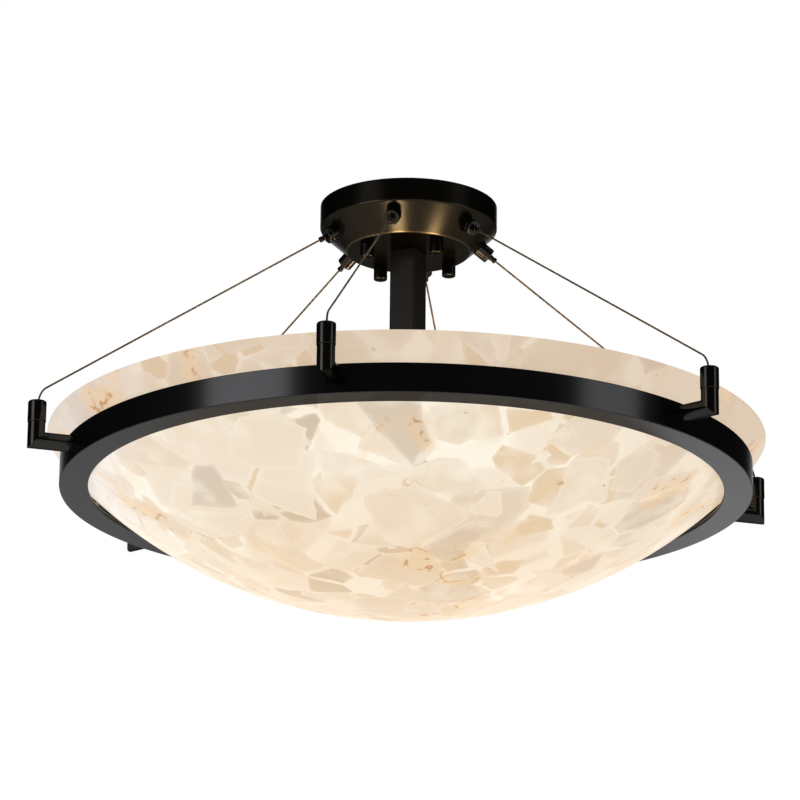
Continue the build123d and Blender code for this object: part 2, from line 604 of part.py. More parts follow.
for number, angle in enumerate(bracket_angles, start=1):
    upright = upright_plane(angle)
    along = rope_plane(angle)
    with BuildPart() as rope:
        with BuildLine(upright) as rope_line:
            FilletPolyline(
                (
                    gripper_circle + rope_start * cos(rope_fall),
                    gripper_height - rope_start * sin(rope_fall),
                ),
                (post_circle, rope_corner),
                (post_circle, stop_top - STOP_LENGTH),
                radius=ROPE_BEND,
            )
        with BuildSketch(Plane(rope_line.line @ 0, z_dir=rope_line.line % 0)):
            Circle(ROPE_RADIUS)
        sweep()
    rope.part.label = f"rope_{number}"
    export_step(rope.part, f"parts/rope_{number}.step")

    # The barrel stands on the cone, with a threaded stud through it and a spring chamber.
    chamber_front = BARREL_LENGTH - BARREL_FRONT_WALL
    chamber_back = chamber_front - CHAMBER_LENGTH
    nozzle_hole = NOZZLE_RADIUS + RUNNING_FIT
    with BuildPart() as gripper:
        with BuildSketch(along):
            with BuildLine():
                Polyline(
                    (-BARREL_RADIUS, 0),
                    (-BARREL_RADIUS, BARREL_RADIUS),
                    (BARREL_LENGTH - BARREL_EDGE, BARREL_RADIUS),
                    (BARREL_LENGTH, BARREL_RADIUS - BARREL_EDGE),
                    (BARREL_LENGTH, 0),
                    close=True,
                )
            make_face()
        revolve(axis=x_axis(along))
        add(canopy_form.part, mode=Mode.SUBTRACT)
        with BuildSketch(along):
            with Locations((-GRIPPER_STUD_LENGTH, 0)):
                stud_run = GRIPPER_STUD_LENGTH + chamber_back
                Rectangle(stud_run, GRIPPER_STUD_RADIUS, align=(Align.MIN, Align.MIN))
        revolve(axis=x_axis(along))
        with BuildSketch(along):
            with BuildLine():
                Polyline(
                    (-GRIPPER_STUD_LENGTH, 0),
                    (-GRIPPER_STUD_LENGTH, rope_hole),
                    (chamber_back, rope_hole),
                    (chamber_back, CHAMBER_RADIUS),
                    (chamber_front, CHAMBER_RADIUS),
                    (chamber_front, nozzle_hole),
                    (BARREL_LENGTH, nozzle_hole),
                    (BARREL_LENGTH, 0),
                    close=True,
                )
            make_face()
        revolve(axis=x_axis(along), mode=Mode.SUBTRACT)
    gripper.part.label = f"gripper_{number}"
    export_step(gripper.part, f"parts/gripper_{number}.step")

    # The nozzle slides into the barrel and frees the rope. Its collar keeps it in.
    nozzle_tip = BARREL_LENGTH + NOZZLE_REACH
    nozzle_tail = chamber_back + NOZZLE_TRAVEL + REST_GAP
    collar_front = chamber_front - REST_GAP
    with BuildPart() as release_nozzle:
        with BuildSketch(along):
            with BuildLine():
                Polyline(
                    (nozzle_tail, rope_hole),
                    (nozzle_tail, NOZZLE_RADIUS),
                    (collar_front - NOZZLE_COLLAR, NOZZLE_RADIUS),
                    (collar_front - NOZZLE_COLLAR, NOZZLE_COLLAR_RADIUS),
                    (collar_front, NOZZLE_COLLAR_RADIUS),
                    (collar_front, NOZZLE_RADIUS),
                    (nozzle_tip - NOZZLE_EDGE, NOZZLE_RADIUS),
                    (nozzle_tip, NOZZLE_RADIUS - NOZZLE_EDGE),
                    (nozzle_tip, rope_hole),
                    close=True,
                )
            make_face()
        revolve(axis=x_axis(along))
    release_nozzle.part.label = f"release_nozzle_{number}"
    export_step(release_nozzle.part, f"parts/release_nozzle_{number}.step")

# The nuts inside the canopy clear the slanted sheet at their lower edge.
with BuildPart() as gripper_nuts:
    for angle in bracket_angles:
        along = rope_plane(angle)
        with BuildSketch(Plane(along.origin, z_dir=along.x_dir).offset(-nut_setback)):
            RegularPolygon(GRIPPER_NUT_FLATS / 2, 6, major_radius=False)
            Circle(GRIPPER_STUD_RADIUS + SCREW_FIT, mode=Mode.SUBTRACT)
        extrude(amount=-GRIPPER_NUT_HEIGHT)
gripper_nuts.part.label = "gripper_nuts"
export_step(gripper_nuts.part, "parts/gripper_nuts.step")

rope_length = rope_line.wires()[0].length
print("rope length", round(rope_length, 1), "mm")
print("rope volume over section times length", rope.part.volume / (pi * ROPE_RADIUS**2 * rope_length))
print("ring height above the bowl's lowest point", round(ring_bottom - (crown_centre - bowl_crown), 1))
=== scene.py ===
from math import acos, asin, atan2, cos, hypot, pi, radians, sin, sqrt

import bmesh
import bpy
from mathutils import Matrix, Vector


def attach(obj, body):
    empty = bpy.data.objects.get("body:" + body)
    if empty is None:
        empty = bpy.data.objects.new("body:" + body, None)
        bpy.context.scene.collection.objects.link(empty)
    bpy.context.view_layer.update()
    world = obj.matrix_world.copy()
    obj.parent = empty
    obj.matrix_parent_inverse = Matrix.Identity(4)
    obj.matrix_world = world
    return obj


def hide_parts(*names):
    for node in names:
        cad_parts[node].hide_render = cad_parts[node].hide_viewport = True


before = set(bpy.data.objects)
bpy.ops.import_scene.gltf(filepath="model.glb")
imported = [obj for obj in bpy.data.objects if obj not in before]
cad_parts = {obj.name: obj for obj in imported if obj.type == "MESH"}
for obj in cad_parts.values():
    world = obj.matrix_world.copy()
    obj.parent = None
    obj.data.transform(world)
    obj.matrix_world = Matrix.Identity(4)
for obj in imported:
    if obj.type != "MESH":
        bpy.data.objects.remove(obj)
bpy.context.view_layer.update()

# ---------------------------------------------------------------- where it is photographed
# The light hangs in a plain white studio. The camera stands lower than the light and looks
# up at it through a long lens, from the side where one bracket is nearest.

scene = bpy.context.scene
scene.view_settings.view_transform = "Standard"

CAMERA_AWAY = 3.5117
CAMERA_LOWER = 1.2784
CAMERA_PITCH = radians(17.357)
CAMERA_YAW = radians(-0.099)
CAMERA_ROLL = radians(0.6)
CAMERA_LENS = 186.66
FLOOR_HEIGHT = -3.8
FLOOR_HALF = 60
FLOOR_TONE = 0.807
LIGHT_ON_OBJECT = 0.75
LAMPS_AIM = Vector((0, 0, -0.2))

camera = bpy.data.objects.new("camera", bpy.data.cameras.new("camera"))
camera.data.lens = CAMERA_LENS
camera.data.clip_end = 200
camera.matrix_world = (
    Matrix.Translation((0, -CAMERA_AWAY, -CAMERA_LOWER))
    @ Matrix.Rotation(-CAMERA_YAW, 4, "Z")
    @ Matrix.Rotation(pi / 2 + CAMERA_PITCH, 4, "X")
    @ Matrix.Rotation(CAMERA_ROLL, 4, "Z")
)
scene.collection.objects.link(camera)
scene.camera = camera


class Shade:
    """One value in a finish, on which Python's operators add Math nodes."""

    def __init__(self, finish, socket):
        self.finish, self.socket = finish, socket

    def maths(self, operation, first, second):
        return self.finish.add("Math", 0, {"operation": operation}, {0: first, 1: second})

    def __add__(self, other):
        return self.maths("ADD", self, other)

    __radd__ = __add__

    def __sub__(self, other):
        return self.maths("SUBTRACT", self, other)

    def __rsub__(self, other):
        return self.maths("SUBTRACT", other, self)

    def __mul__(self, other):
        return self.maths("MULTIPLY", self, other)

    __rmul__ = __mul__

    def __pow__(self, other):
        return self.maths("POWER", self, other)


class Finish:
    """The nodes of a material or a world. add() makes each node and gives back one output."""

    def __init__(self, owner):
        owner.use_nodes = True
        self.owner, self.tree = owner, owner.node_tree
        self.tree.nodes.clear()

    def add(self, kind, output, settings=None, sockets=None):
        node = self.tree.nodes.new("ShaderNode" + kind)
        for name, value in (settings or {}).items():
            setattr(node, name, value)
        for name, value in (sockets or {}).items():
            if isinstance(value, Shade):
                self.tree.links.new(value.socket, node.inputs[name])
            else:
                node.inputs[name].default_value = value
        return None if output is None else Shade(self, node.outputs[output])

    def ramp(self, value, low, high):
        return self.add("MapRange", 0, {"interpolation_type": "SMOOTHSTEP"}, {0: value, 1: low, 2: high})

    def blend(self, mask, under, over):
        return self.add("Mix", 2, {"data_type": "RGBA"}, {0: mask, 6: under, 7: over})

    def grain(self, place, scale, detail=3.0):
        return self.add("TexNoise", 0, None, {"Vector": place, "Scale": scale, "Detail": detail})

    def relief(self, strength, height, depth=0.0001):
        return self.add("Bump", 0, None, {"Strength": strength, "Distance": depth, "Height": height})

    def surface(self, sockets):
        """Closes the material with its shader, and gives the material back."""
        shader = self.add("BsdfPrincipled", 0, None, sockets)
        self.add("OutputMaterial", None, None, {"Surface": shader})
        return self.owner


def new_finish(name):
    """A material to build up, and the place on the object that each of its points has."""
    finish = Finish(bpy.data.materials.new(name))
    return finish, finish.add("TexCoord", "Object")


def paint(red, green, blue):
    """A colour from 0 to 255 as it is seen, in the linear light that the shaders take."""
    linear = [((c / 255 + 0.055) / 1.055) ** 2.4 if c > 10 else c / 255 / 12.92 for c in (red, green, blue)]
    return (*linear, 1)


studio = Finish(bpy.data.worlds.new("studio"))
scene.world = studio.owner
seen = studio.add("LightPath", "Is Camera Ray")
mirrored = studio.add("LightPath", "Is Glossy Ray")
through = studio.add("LightPath", "Is Transmission Ray")
# The backdrop is white and meets the floor in its tone, and the ceiling is pale. The rest of
# the room, which only metal and glass show, is dark.
way = studio.add("TexCoord", "Generated")
toward_backdrop = studio.add("SeparateXYZ", 1, None, {0: way})
toward_ceiling = studio.add("SeparateXYZ", 2, None, {0: way})
room = 0.02 + 0.9 * studio.ramp(toward_backdrop, 0.86, 1.0) + 0.5 * studio.ramp(toward_ceiling, 0.5, 0.85)
backdrop = FLOOR_TONE + (1 - FLOOR_TONE) * studio.ramp(toward_ceiling, -0.02, 0.16)
sky_strength = seen * backdrop + through + mirrored * room + LIGHT_ON_OBJECT * (1 - seen - through - mirrored)
sky = studio.add("Background", 0, None, {"Color": (1, 1, 1, 1), "Strength": sky_strength})
studio.add("OutputWorld", None, None, {"Surface": sky})

floor_finish, place = new_finish("studio_floor")
floor_colour = floor_finish.blend(floor_finish.grain(place, 1.2), paint(226, 226, 225), paint(232, 232, 231))
floor_seen = floor_finish.add("LightPath", "Is Camera Ray") + floor_finish.add("LightPath", "Is Glossy Ray")
floor_seen = floor_seen + floor_finish.add("LightPath", "Is Transmission Ray")
floor_glow = floor_finish.blend(floor_seen, (0, 0, 0, 1), floor_colour)
floor_white = floor_finish.surface(
    {"Base Color": floor_colour, "Roughness": 0.9, "Emission Color": floor_glow, "Emission Strength": 0.3}
)

floor_mesh = bpy.data.meshes.new("floor")
floor_form = bmesh.new()
bmesh.ops.create_grid(floor_form, x_segments=8, y_segments=8, size=FLOOR_HALF)
bmesh.ops.translate(floor_form, verts=floor_form.verts, vec=(0, 0, FLOOR_HEIGHT))
floor_form.to_mesh(floor_mesh)
floor_mesh.materials.append(floor_white)
floor = bpy.data.objects.new("floor", floor_mesh)
scene.collection.objects.link(floor)

for lamp_name, watts, width, height, spot in (
    ("key", 9, 1.6, 0.8, (-2.45, -2.0, 0.5)),
    ("fill", 4.5, 1.2, 0.8, (2.9, -1.25, 0.5)),
    ("front", 1.5, 1.6, 1.6, (-0.9, -3.6, -1.9)),
    ("low_left", 0.22, 0.3, 0.5, (-0.55, 2.9, -1.1)),
    ("low_right", 0.9, 0.3, 0.5, (0.55, 2.9, -1.1)),
):
    soft_box = bpy.data.objects.new(lamp_name, bpy.data.lights.new(lamp_name, "AREA"))
    soft_box.data.energy = watts
    soft_box.data.shape = "RECTANGLE"
    soft_box.data.size = width
    soft_box.data.size_y = height
    soft_box.location = spot
    soft_box.rotation_euler = (LAMPS_AIM - Vector(spot)).to_track_quat("-Z", "Y").to_euler()
    soft_box.visible_camera = False
    scene.collection.objects.link(soft_box)

# ---------------------------------------------------------------- wire ropes
# Six ropes of twisted steel wire carry the ring. Each runs from its gripper on the canopy
# straight out over a bracket, and bends down into the cap, where a crimped stop holds it.

BRACKET_COUNT = 6
FIRST_BRACKET_ANGLE = radians(18.7)
POST_CIRCLE = 0.3352
GRIPPER_CIRCLE = 0.0684
GRIPPER_HEIGHT = -0.030553
ROPE_CORNER_HEIGHT = -0.2108
ROPE_END_HEIGHT = -0.2288
ROPE_START = -0.015
ROPE_CORE = 0.00066
WIRE_RADIUS = 0.0003
WIRE_CIRCLE = 0.0006
WIRE_COUNT = 6
WIRE_LAY = 0.012
WIRE_STEP = 0.0009
WIRE_SIDES = 6
CRISP = radians(32)
rope_fall = atan2(GRIPPER_HEIGHT - ROPE_CORNER_HEIGHT, POST_CIRCLE - GRIPPER_CIRCLE)
bracket_angles = [FIRST_BRACKET_ANGLE + 2 * pi / BRACKET_COUNT * n for n in range(BRACKET_COUNT)]


def round_light(angle, out, up):
    """The point this far out from the light's axis and this high, at an angle round it."""
    return Vector((out * cos(angle), out * sin(angle), up))


def on_rope(angle, along):
    """The point this far along a rope's straight run from the face of the canopy."""
    out, down = along * cos(rope_fall), along * sin(rope_fall)
    return round_light(angle, GRIPPER_CIRCLE + out, GRIPPER_HEIGHT - down)


def steel(name, dark, light, roughness):
    """Bare or plated steel, clouded, with a little grime in its surface."""
    finish, place = new_finish(name)
    grime = finish.grain(place, 260, 4)
    patches = finish.grain(place, 18, 2)
    colour = finish.blend(finish.ramp(grime * 0.6 + patches * 0.4, 0.32, 0.66), dark, light)
    rough = roughness + 0.22 * grime
    relief = finish.relief(0.25, grime)
    return finish.surface({"Base Color": colour, "Metallic": 1.0, "Roughness": rough, "Normal": relief})


rope_steel = steel("wire_rope", paint(74, 65, 53), paint(122, 108, 88), 0.42)


def put_in_scene(name, mesh, finish=None):
    piece = bpy.data.objects.new(name, mesh)
    if finish is not None:
        mesh.materials.clear()
        mesh.materials.append(finish)
    scene.collection.objects.link(piece)
    return piece


def skin(form, rings, closed=False):
    """Faces between neighbouring rings of points. A ring of one point is a pole."""
    around = max(len(ring) for ring in rings)
    for low, high in list(zip(rings, rings[1:])) + ([(rings[-1], rings[0])] if closed else []):
        for n in range(around):
            m = (n + 1) % around
            corners = [low[n % len(low)], low[m % len(low)], high[m % len(high)], high[n % len(high)]]
            corners = list(dict.fromkeys(corners))
            if len(corners) > 2:
                form.faces.new(corners)


def mesh_of(form, name, crisp=CRISP):
    """The finished mesh: faces outward and smooth, apart from edges sharper than crisp."""
    bmesh.ops.recalc_face_normals(form, faces=form.faces)
    for face in form.faces:
        face.smooth = True
    for edge in form.edges:
        edge.smooth = edge.calc_face_angle(0) < crisp
    mesh = bpy.data.meshes.new(name)
    form.to_mesh(mesh)
    form.free()
    return mesh


def evenly(points, step):
    """Points a step apart along a line, each with its direction, and the line's length."""
    run = [0.0]
    for before, after in zip(points, points[1:]):
        run.append(run[-1] + (after - before).length)
    count = max(2, round(run[-1] / step))
    placed, leg = [], 0
    for n in range(count + 1):
        reach = run[-1] * n / count
        while leg < len(points) - 2 and run[leg + 1] < reach:
            leg += 1
        share = (reach - run[leg]) / (run[leg + 1] - run[leg])
        ahead = (points[leg + 1] - points[leg]).normalized()
        placed.append((points[leg].lerp(points[leg + 1], share), ahead))
    return placed, run[-1]


for number, angle in enumerate(bracket_angles, start=1):
    corner = round_light(angle, POST_CIRCLE, ROPE_CORNER_HEIGHT)
    end = round_light(angle, POST_CIRCLE, ROPE_END_HEIGHT)
    start = on_rope(angle, ROPE_START)
    before_corner = corner + (start - corner).normalized() * (corner - end).length
    line = bpy.data.curves.new(f"rope_core_{number}", "CURVE")
    line.dimensions = "3D"
    line.resolution_u = 64
    run = line.splines.new("NURBS")
    run.points.add(3)
    for point, spot in zip(run.points, (start, before_corner, corner, end)):
        point.co = (*spot, 1)
    run.order_u = 3
    run.use_endpoint_u = True
    rope = bpy.data.objects.new(f"rope_core_{number}", line)
    scene.collection.objects.link(rope)
    bpy.context.view_layer.update()

    route = bpy.data.meshes.new_from_object(rope)
    centres, rope_reach = evenly([vertex.co.copy() for vertex in route.vertices], WIRE_STEP)
    bpy.data.meshes.remove(route)
    sideways = Vector((sin(angle), -cos(angle), 0))
    spokes = [2 * pi * side / WIRE_SIDES for side in range(WIRE_SIDES)]
    form = bmesh.new()
    for wire in range(WIRE_COUNT):
        rings = []
        for step, (centre, ahead) in enumerate(centres):
            turn = 2 * pi * (wire / WIRE_COUNT + step * rope_reach / (len(centres) - 1) / WIRE_LAY)
            across = ahead.cross(sideways)
            middle = centre + WIRE_CIRCLE * (cos(turn) * sideways + sin(turn) * across)
            ring = [middle + WIRE_RADIUS * (cos(s) * sideways + sin(s) * across) for s in spokes]
            rings.append([form.verts.new(spot) for spot in ring])
        skin(form, rings)
        form.faces.new(rings[0])
        form.faces.new(rings[-1])
    wire_mesh = mesh_of(form, f"rope_wires_{number}", crisp=pi)
    rope_wires = put_in_scene(f"rope_wires_{number}", wire_mesh, rope_steel)

    line.bevel_depth = ROPE_CORE
    line.bevel_resolution = 3
    line.use_fill_caps = True
    line.materials.append(rope_steel)
    for piece in (rope, rope_wires):
        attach(piece, "fixture")
    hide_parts(f"rope_{number}")

# ---------------------------------------------------------------- canopy
# A spun steel pan that covers the ceiling box: a short band, a cone and a flat floor. It is
# finished in satin black, whose brushed base shows brown where warm light falls along it.

CANOPY_RADIUS = 0.0794
CANOPY_BAND = 0.0208
CANOPY_DEPTH = 0.0427
CANOPY_FLOOR = 0.0547
CANOPY_SHEET = 0.0012
CANOPY_EDGE = 0.0015
CANOPY_HOLE = 0.0049
CANOPY_LIP = 0.0002
CANOPY_INSIDE_EDGE = 0.0003
CANOPY_STEPS = 144
GLINT_LINE_HALF = 0.0006
FLAT_KEPT = 0.3
AT_AXIS = 1e-7


def outline(corners, arc=4):
    """Points of a closed outline. Each corner is (out, along, rounding), and beside each
    rounding lies one more point on each side, so that the flats stay flat when shaded. arc is
    the number of steps in a rounding."""
    points = []
    for n, (out, along, rounding) in enumerate(corners):
        here = Vector((out, along))
        before = (Vector(corners[n - 1][:2]) - here).normalized()
        after = (Vector(corners[(n + 1) % len(corners)][:2]) - here).normalized()
        if rounding == 0:
            points.append(here)
            continue
        half = acos(max(-1, min(1, before.dot(after)))) / 2
        tangent = rounding / (sin(half) / cos(half))
        middle = here + (before + after).normalized() * (rounding / sin(half))
        first, last = here + before * tangent, here + after * tangent
        sweep = (first - middle).angle_signed(last - middle)
        points.append(first + before * rounding * FLAT_KEPT)
        for k in range(arc + 1):
            points.append(middle + Matrix.Rotation(-sweep * k / arc, 2) @ (first - middle))
        points.append(last + after * rounding * FLAT_KEPT)
    return points


def turned(name, points, finish, frame_of=Matrix.Identity(4), steps=72, closed=True, crisp=CRISP):
    """A piece turned on a lathe: an outline of (out, along) points round frame_of's Z axis."""
    form = bmesh.new()
    rings = []
    for out, along in points:
        spokes = [0] if abs(out) < AT_AXIS else [2 * pi * n / steps for n in range(steps)]
        ring = [frame_of @ Vector((out * cos(s), out * sin(s), along)) for s in spokes]
        rings.append([form.verts.new(spot) for spot in ring])
    skin(form, rings, closed)
    return put_in_scene(name, mesh_of(form, name, crisp), finish)


def satin_black(
    name, tone, sheen, roughness, brushing, gloss=0.25, metal=0.0, graze=0.4, relief_depth=0.07, glint_heights=()
):
    """Satin black over brushed metal: fine lines round the axis, and soft smudges. Where the
    black is a thin plating, metal is near 1, the tones are what it mirrors, and graze is how
    much it mirrors at a flat angle. The edges at the heights given last get a painted highlight:
    a thin brass line that stands in for the glint of light along them."""
    finish, place = new_finish(name)
    smudge = finish.grain(place, 9, 4)
    peel = finish.grain(place, 900, 2)
    apart = finish.add("SeparateXYZ", 2, None, {0: place})
    flat = finish.add("VectorMath", 0, {"operation": "MULTIPLY"}, {0: place, 1: (1, 1, 0)})
    out = finish.add("VectorMath", 1, {"operation": "LENGTH"}, {0: flat})
    brushed = {"W": out + apart * 0.7, "Scale": 2600.0, "Detail": 2.0}
    lines = finish.add("TexNoise", 0, {"noise_dimensions": "1D"}, brushed)
    colour = finish.blend(smudge, tone, sheen)
    # Painted highlight: a thin brass line along each listed edge, broken up by the smudges, stands in for the
    # glint of light there.
    for edge_height in glint_heights:
        from_edge = apart - edge_height
        painted_glint = finish.ramp(from_edge * from_edge, GLINT_LINE_HALF**2, 0.0) * finish.ramp(smudge, 0.3, 0.6)
        colour = finish.blend(painted_glint, colour, GLINT_LINE_BRASS)
    return finish.surface(
        {
            "Base Color": colour,
            "Metallic": metal,
            "Roughness": roughness + 0.1 * smudge + 0.05 * lines,
            "Specular IOR Level": gloss,
            "Specular Tint": (graze, graze, graze, 1) if metal else (1, 1, 1, 1),
            "Normal": finish.relief(relief_depth, peel * (1 - brushing) + lines * brushing),
        }
    )


# The colour of the painted glint lines along the canopy's edges.
GLINT_LINE_BRASS = paint(78, 70, 55)
canopy_glint_edges = (CANOPY_EDGE * 0.5 - CANOPY_BAND, CANOPY_EDGE * 0.5 - CANOPY_DEPTH)
canopy_black = satin_black(
    "canopy_black", paint(35, 34, 31), paint(43, 41, 37), 0.15, 0.7, metal=0.95, glint_heights=canopy_glint_edges
)
canopy_corners = [
    (CANOPY_RADIUS, 0, CANOPY_LIP),
    (CANOPY_RADIUS, -CANOPY_BAND, CANOPY_EDGE),
    (CANOPY_FLOOR, -CANOPY_DEPTH, CANOPY_EDGE),
    (CANOPY_HOLE, -CANOPY_DEPTH, 0),
    (CANOPY_HOLE, CANOPY_SHEET - CANOPY_DEPTH, 0),
    (CANOPY_FLOOR - CANOPY_SHEET * 0.4, CANOPY_SHEET - CANOPY_DEPTH, CANOPY_INSIDE_EDGE),
    (CANOPY_RADIUS - CANOPY_SHEET, CANOPY_SHEET * 0.4 - CANOPY_BAND, CANOPY_INSIDE_EDGE),
    (CANOPY_RADIUS - CANOPY_SHEET, 0, CANOPY_LIP),
]
canopy_pan = turned("canopy_pan", outline(canopy_corners, arc=5), canopy_black, steps=CANOPY_STEPS)
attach(canopy_pan, "fixture")
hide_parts("canopy")

# ---------------------------------------------------------------- mounting plate and studs
# Inside the canopy a zinc-plated steel plate is screwed to the ceiling box. Four threaded
# studs stand in it, locked by hex nuts, and a green screw takes the ground wire.

STUD_CIRCLE = 0.0443
STUD_RADIUS = 0.002
FIRST_STUD_ANGLE = radians(34.3)
STUD_COUNT = 4
STUD_THREADS = 75
THREAD_PITCH = 0.0007
THREAD_DEPTH = 0.0003
STUD_NUT_FLATS = 0.007
STUD_NUT_HEIGHT = 0.0032
STUD_NUT_HOLE = 0.0021
STUD_NUT_FOOT = -0.0052
NUT_STEPS = 48
NUT_CHAMFER = 0.06

zinc = steel("zinc_steel", paint(156, 158, 160), paint(204, 206, 208), 0.3)


class Layout:
    """A Geometry Nodes tree. add() makes each node, and ask() names an input of the tree."""

    def __init__(self, name):
        self.tree = bpy.data.node_groups.new(name, "GeometryNodeTree")
        self.inputs, self.entry = {}, self.tree.nodes.new("NodeGroupInput")

    def ask(self, name, kind):
        socket_type = "NodeSocket" + kind
        self.inputs[name] = self.tree.interface.new_socket(name, in_out="INPUT", socket_type=socket_type)
        return self.entry.outputs[name]

    def add(self, kind, output, settings=None, sockets=None):
        node = self.tree.nodes.new(kind)
        for name, value in (settings or {}).items():
            setattr(node, name, value)
        for name, value in (sockets or {}).items():
            if isinstance(value, bpy.types.NodeSocket):
                self.tree.links.new(value, node.inputs[name])
            else:
                node.inputs[name].default_value = value
        return node.outputs[output]


layout = Layout("set_round_the_light")
one_piece = layout.ask("Piece", "Geometry")
how_many = layout.ask("Count", "Int")
how_far = layout.ask("Circle", "Float")
first_turn = layout.ask("First angle", "Float")
its_finish = layout.ask("Finish", "Material")
spots = layout.add("GeometryNodePoints", 0, None, {"Count": how_many})
index = layout.add("GeometryNodeInputIndex", 0)
share_of_turn = layout.add("ShaderNodeMath", 0, {"operation": "DIVIDE"}, {0: 2 * pi, 1: how_many})
turning = {0: index, 1: share_of_turn, 2: first_turn}
turn_angle = layout.add("ShaderNodeMath", 0, {"operation": "MULTIPLY_ADD"}, turning)
out_x = layout.add("ShaderNodeMath", 0, {"operation": "COSINE"}, {0: turn_angle})
out_y = layout.add("ShaderNodeMath", 0, {"operation": "SINE"}, {0: turn_angle})
spoke_way = layout.add("ShaderNodeCombineXYZ", 0, None, {0: out_x, 1: out_y})
spot_place = layout.add("ShaderNodeVectorMath", 0, {"operation": "SCALE"}, {0: spoke_way, "Scale": how_far})
placed_spots = layout.add("GeometryNodeSetPosition", 0, None, {"Geometry": spots, "Position": spot_place})
facing = layout.add("ShaderNodeCombineXYZ", 0, None, {2: turn_angle})
facing_turn = layout.add("FunctionNodeEulerToRotation", 0, None, {0: facing})
copying = {"Points": placed_spots, "Instance": one_piece, "Rotation": facing_turn}
copies = layout.add("GeometryNodeInstanceOnPoints", 0, None, copying)
real = layout.add("GeometryNodeRealizeInstances", 0, None, {0: copies})
dressed = layout.add("GeometryNodeSetMaterial", 0, None, {"Geometry": real, "Material": its_finish})
layout.tree.interface.new_socket("Set", in_out="OUTPUT", socket_type="NodeSocketGeometry")
layout.tree.links.new(dressed, layout.tree.nodes.new("NodeGroupOutput").inputs[0])


def set_round(piece, name, finish, count=BRACKET_COUNT, circle=0.0, first_angle=FIRST_BRACKET_ANGLE):
    """Copies a piece made at the axis, facing +X, to even places round the light."""
    repeat = piece.modifiers.new("round", "NODES")
    repeat.node_group = layout.tree
    asked = {"Count": count, "Circle": circle, "First angle": first_angle, "Finish": finish}
    for socket, value in asked.items():
        repeat[layout.inputs[socket].identifier] = value
    bpy.context.view_layer.update()
    laid_out = bpy.data.meshes.new_from_object(piece.evaluated_get(bpy.context.evaluated_depsgraph_get()))
    laid_out.name = name
    bpy.data.objects.remove(piece)
    return put_in_scene(name, laid_out)


def hex_nut(name, flats, height, hole, base, finish, frame_of=Matrix.Identity(4)):
    """A hex nut on frame_of's Z axis, with its corners turned off at both faces."""
    corner, chamfer = flats / 2 / cos(pi / 6), flats * NUT_CHAMFER
    levels = [(hole, 0), (flats / 2, 0), (corner, chamfer)]
    levels += [(corner, height - chamfer), (flats / 2, height), (hole, height)]
    form = bmesh.new()
    rings = []
    for out, along in levels:
        ring = []
        for n in range(NUT_STEPS):
            spoke = 2 * pi * n / NUT_STEPS
            off_flat = (spoke + pi / 6) % (pi / 3) - pi / 6
            reach = min(out, flats / 2 / cos(off_flat))
            spot = Vector((reach * cos(spoke), reach * sin(spoke), base + along))
            ring.append(form.verts.new(frame_of @ spot))
        rings.append(ring)
    skin(form, rings, closed=True)
    return put_in_scene(name, mesh_of(form, name, radians(25)), finish)


stud_points = [Vector((0, 0))]
for k in range(STUD_THREADS * 2 + 1):
    stud_points.append(Vector((STUD_RADIUS - THREAD_DEPTH * (k % 2 == 0), -THREAD_PITCH / 2 * k)))
stud_points.append(Vector((0, -THREAD_PITCH * STUD_THREADS)))
stud = turned("stud", stud_points, zinc, steps=20, closed=False)
studs = set_round(stud, "threaded_studs", zinc, STUD_COUNT, STUD_CIRCLE, FIRST_STUD_ANGLE)
stud_nut = hex_nut("stud_nut", STUD_NUT_FLATS, STUD_NUT_HEIGHT, STUD_NUT_HOLE, STUD_NUT_FOOT, zinc)
stud_nuts = set_round(stud_nut, "stud_hex_nuts", zinc, STUD_COUNT, STUD_CIRCLE, FIRST_STUD_ANGLE)
for piece, node in ((studs, "mounting_studs"), (stud_nuts, "stud_lock_nuts")):
    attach(piece, "fixture")
    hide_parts(node)

green_finish, place = new_finish("green_screw")
scuffs = green_finish.grain(place, 500, 3)
green = green_finish.blend(green_finish.ramp(scuffs, 0.45, 0.75), paint(38, 110, 62), paint(96, 148, 104))
green_relief = green_finish.relief(0.2, scuffs)
ground_green = green_finish.surface(
    {"Base Color": green, "Metallic": 0.6, "Roughness": 0.28 + 0.2 * scuffs, "Normal": green_relief}
)


def dress(node, finish):
    """Gives a solid of the part's own its finish."""
    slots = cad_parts[node].data.materials
    slots.clear()
    slots.append(finish)


dress("mounting_plate", zinc)
dress("ground_screw", ground_green)

# ---------------------------------------------------------------- thumb nuts
# Four plain cylinder nuts, turned from bar and finished like the canopy, pull it up on the
# studs. Their ends are eased, and the fingers turn them without a tool.

REST_GAP = 0.0003
THUMB_NUT_TOP = -CANOPY_DEPTH - REST_GAP
THUMB_NUT_LENGTH = 0.013
THUMB_NUT_RADIUS = 0.00615
THUMB_NUT_BORE = 0.0021
THUMB_NUT_END = 0.003
THUMB_NUT_TOP_EDGE = 0.0008
THUMB_NUT_FOOT_EDGE = 0.0011

nut_black = satin_black(
    "nut_black", paint(42, 41, 39), paint(52, 50, 47), 0.11, 0.35, metal=0.96, graze=0.35, relief_depth=0.04
)
nut_corners = [
    (THUMB_NUT_BORE, 0, 0),
    (THUMB_NUT_RADIUS, 0, THUMB_NUT_TOP_EDGE),
    (THUMB_NUT_RADIUS, -THUMB_NUT_LENGTH, THUMB_NUT_FOOT_EDGE),
    (0, -THUMB_NUT_LENGTH, 0),
    (0, THUMB_NUT_END - THUMB_NUT_LENGTH, 0),
    (THUMB_NUT_BORE, THUMB_NUT_END - THUMB_NUT_LENGTH, 0),
]
for number in range(1, STUD_COUNT + 1):
    angle = FIRST_STUD_ANGLE + 2 * pi / STUD_COUNT * (number - 1)
    at_nut = Matrix.Translation(round_light(angle, STUD_CIRCLE, THUMB_NUT_TOP))
    thumb_nut = turned(f"thumb_nut_piece_{number}", outline(nut_corners), nut_black, at_nut, steps=48)
    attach(thumb_nut, f"thumb_nut_{number}")
    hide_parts(f"thumb_nut_{number}")

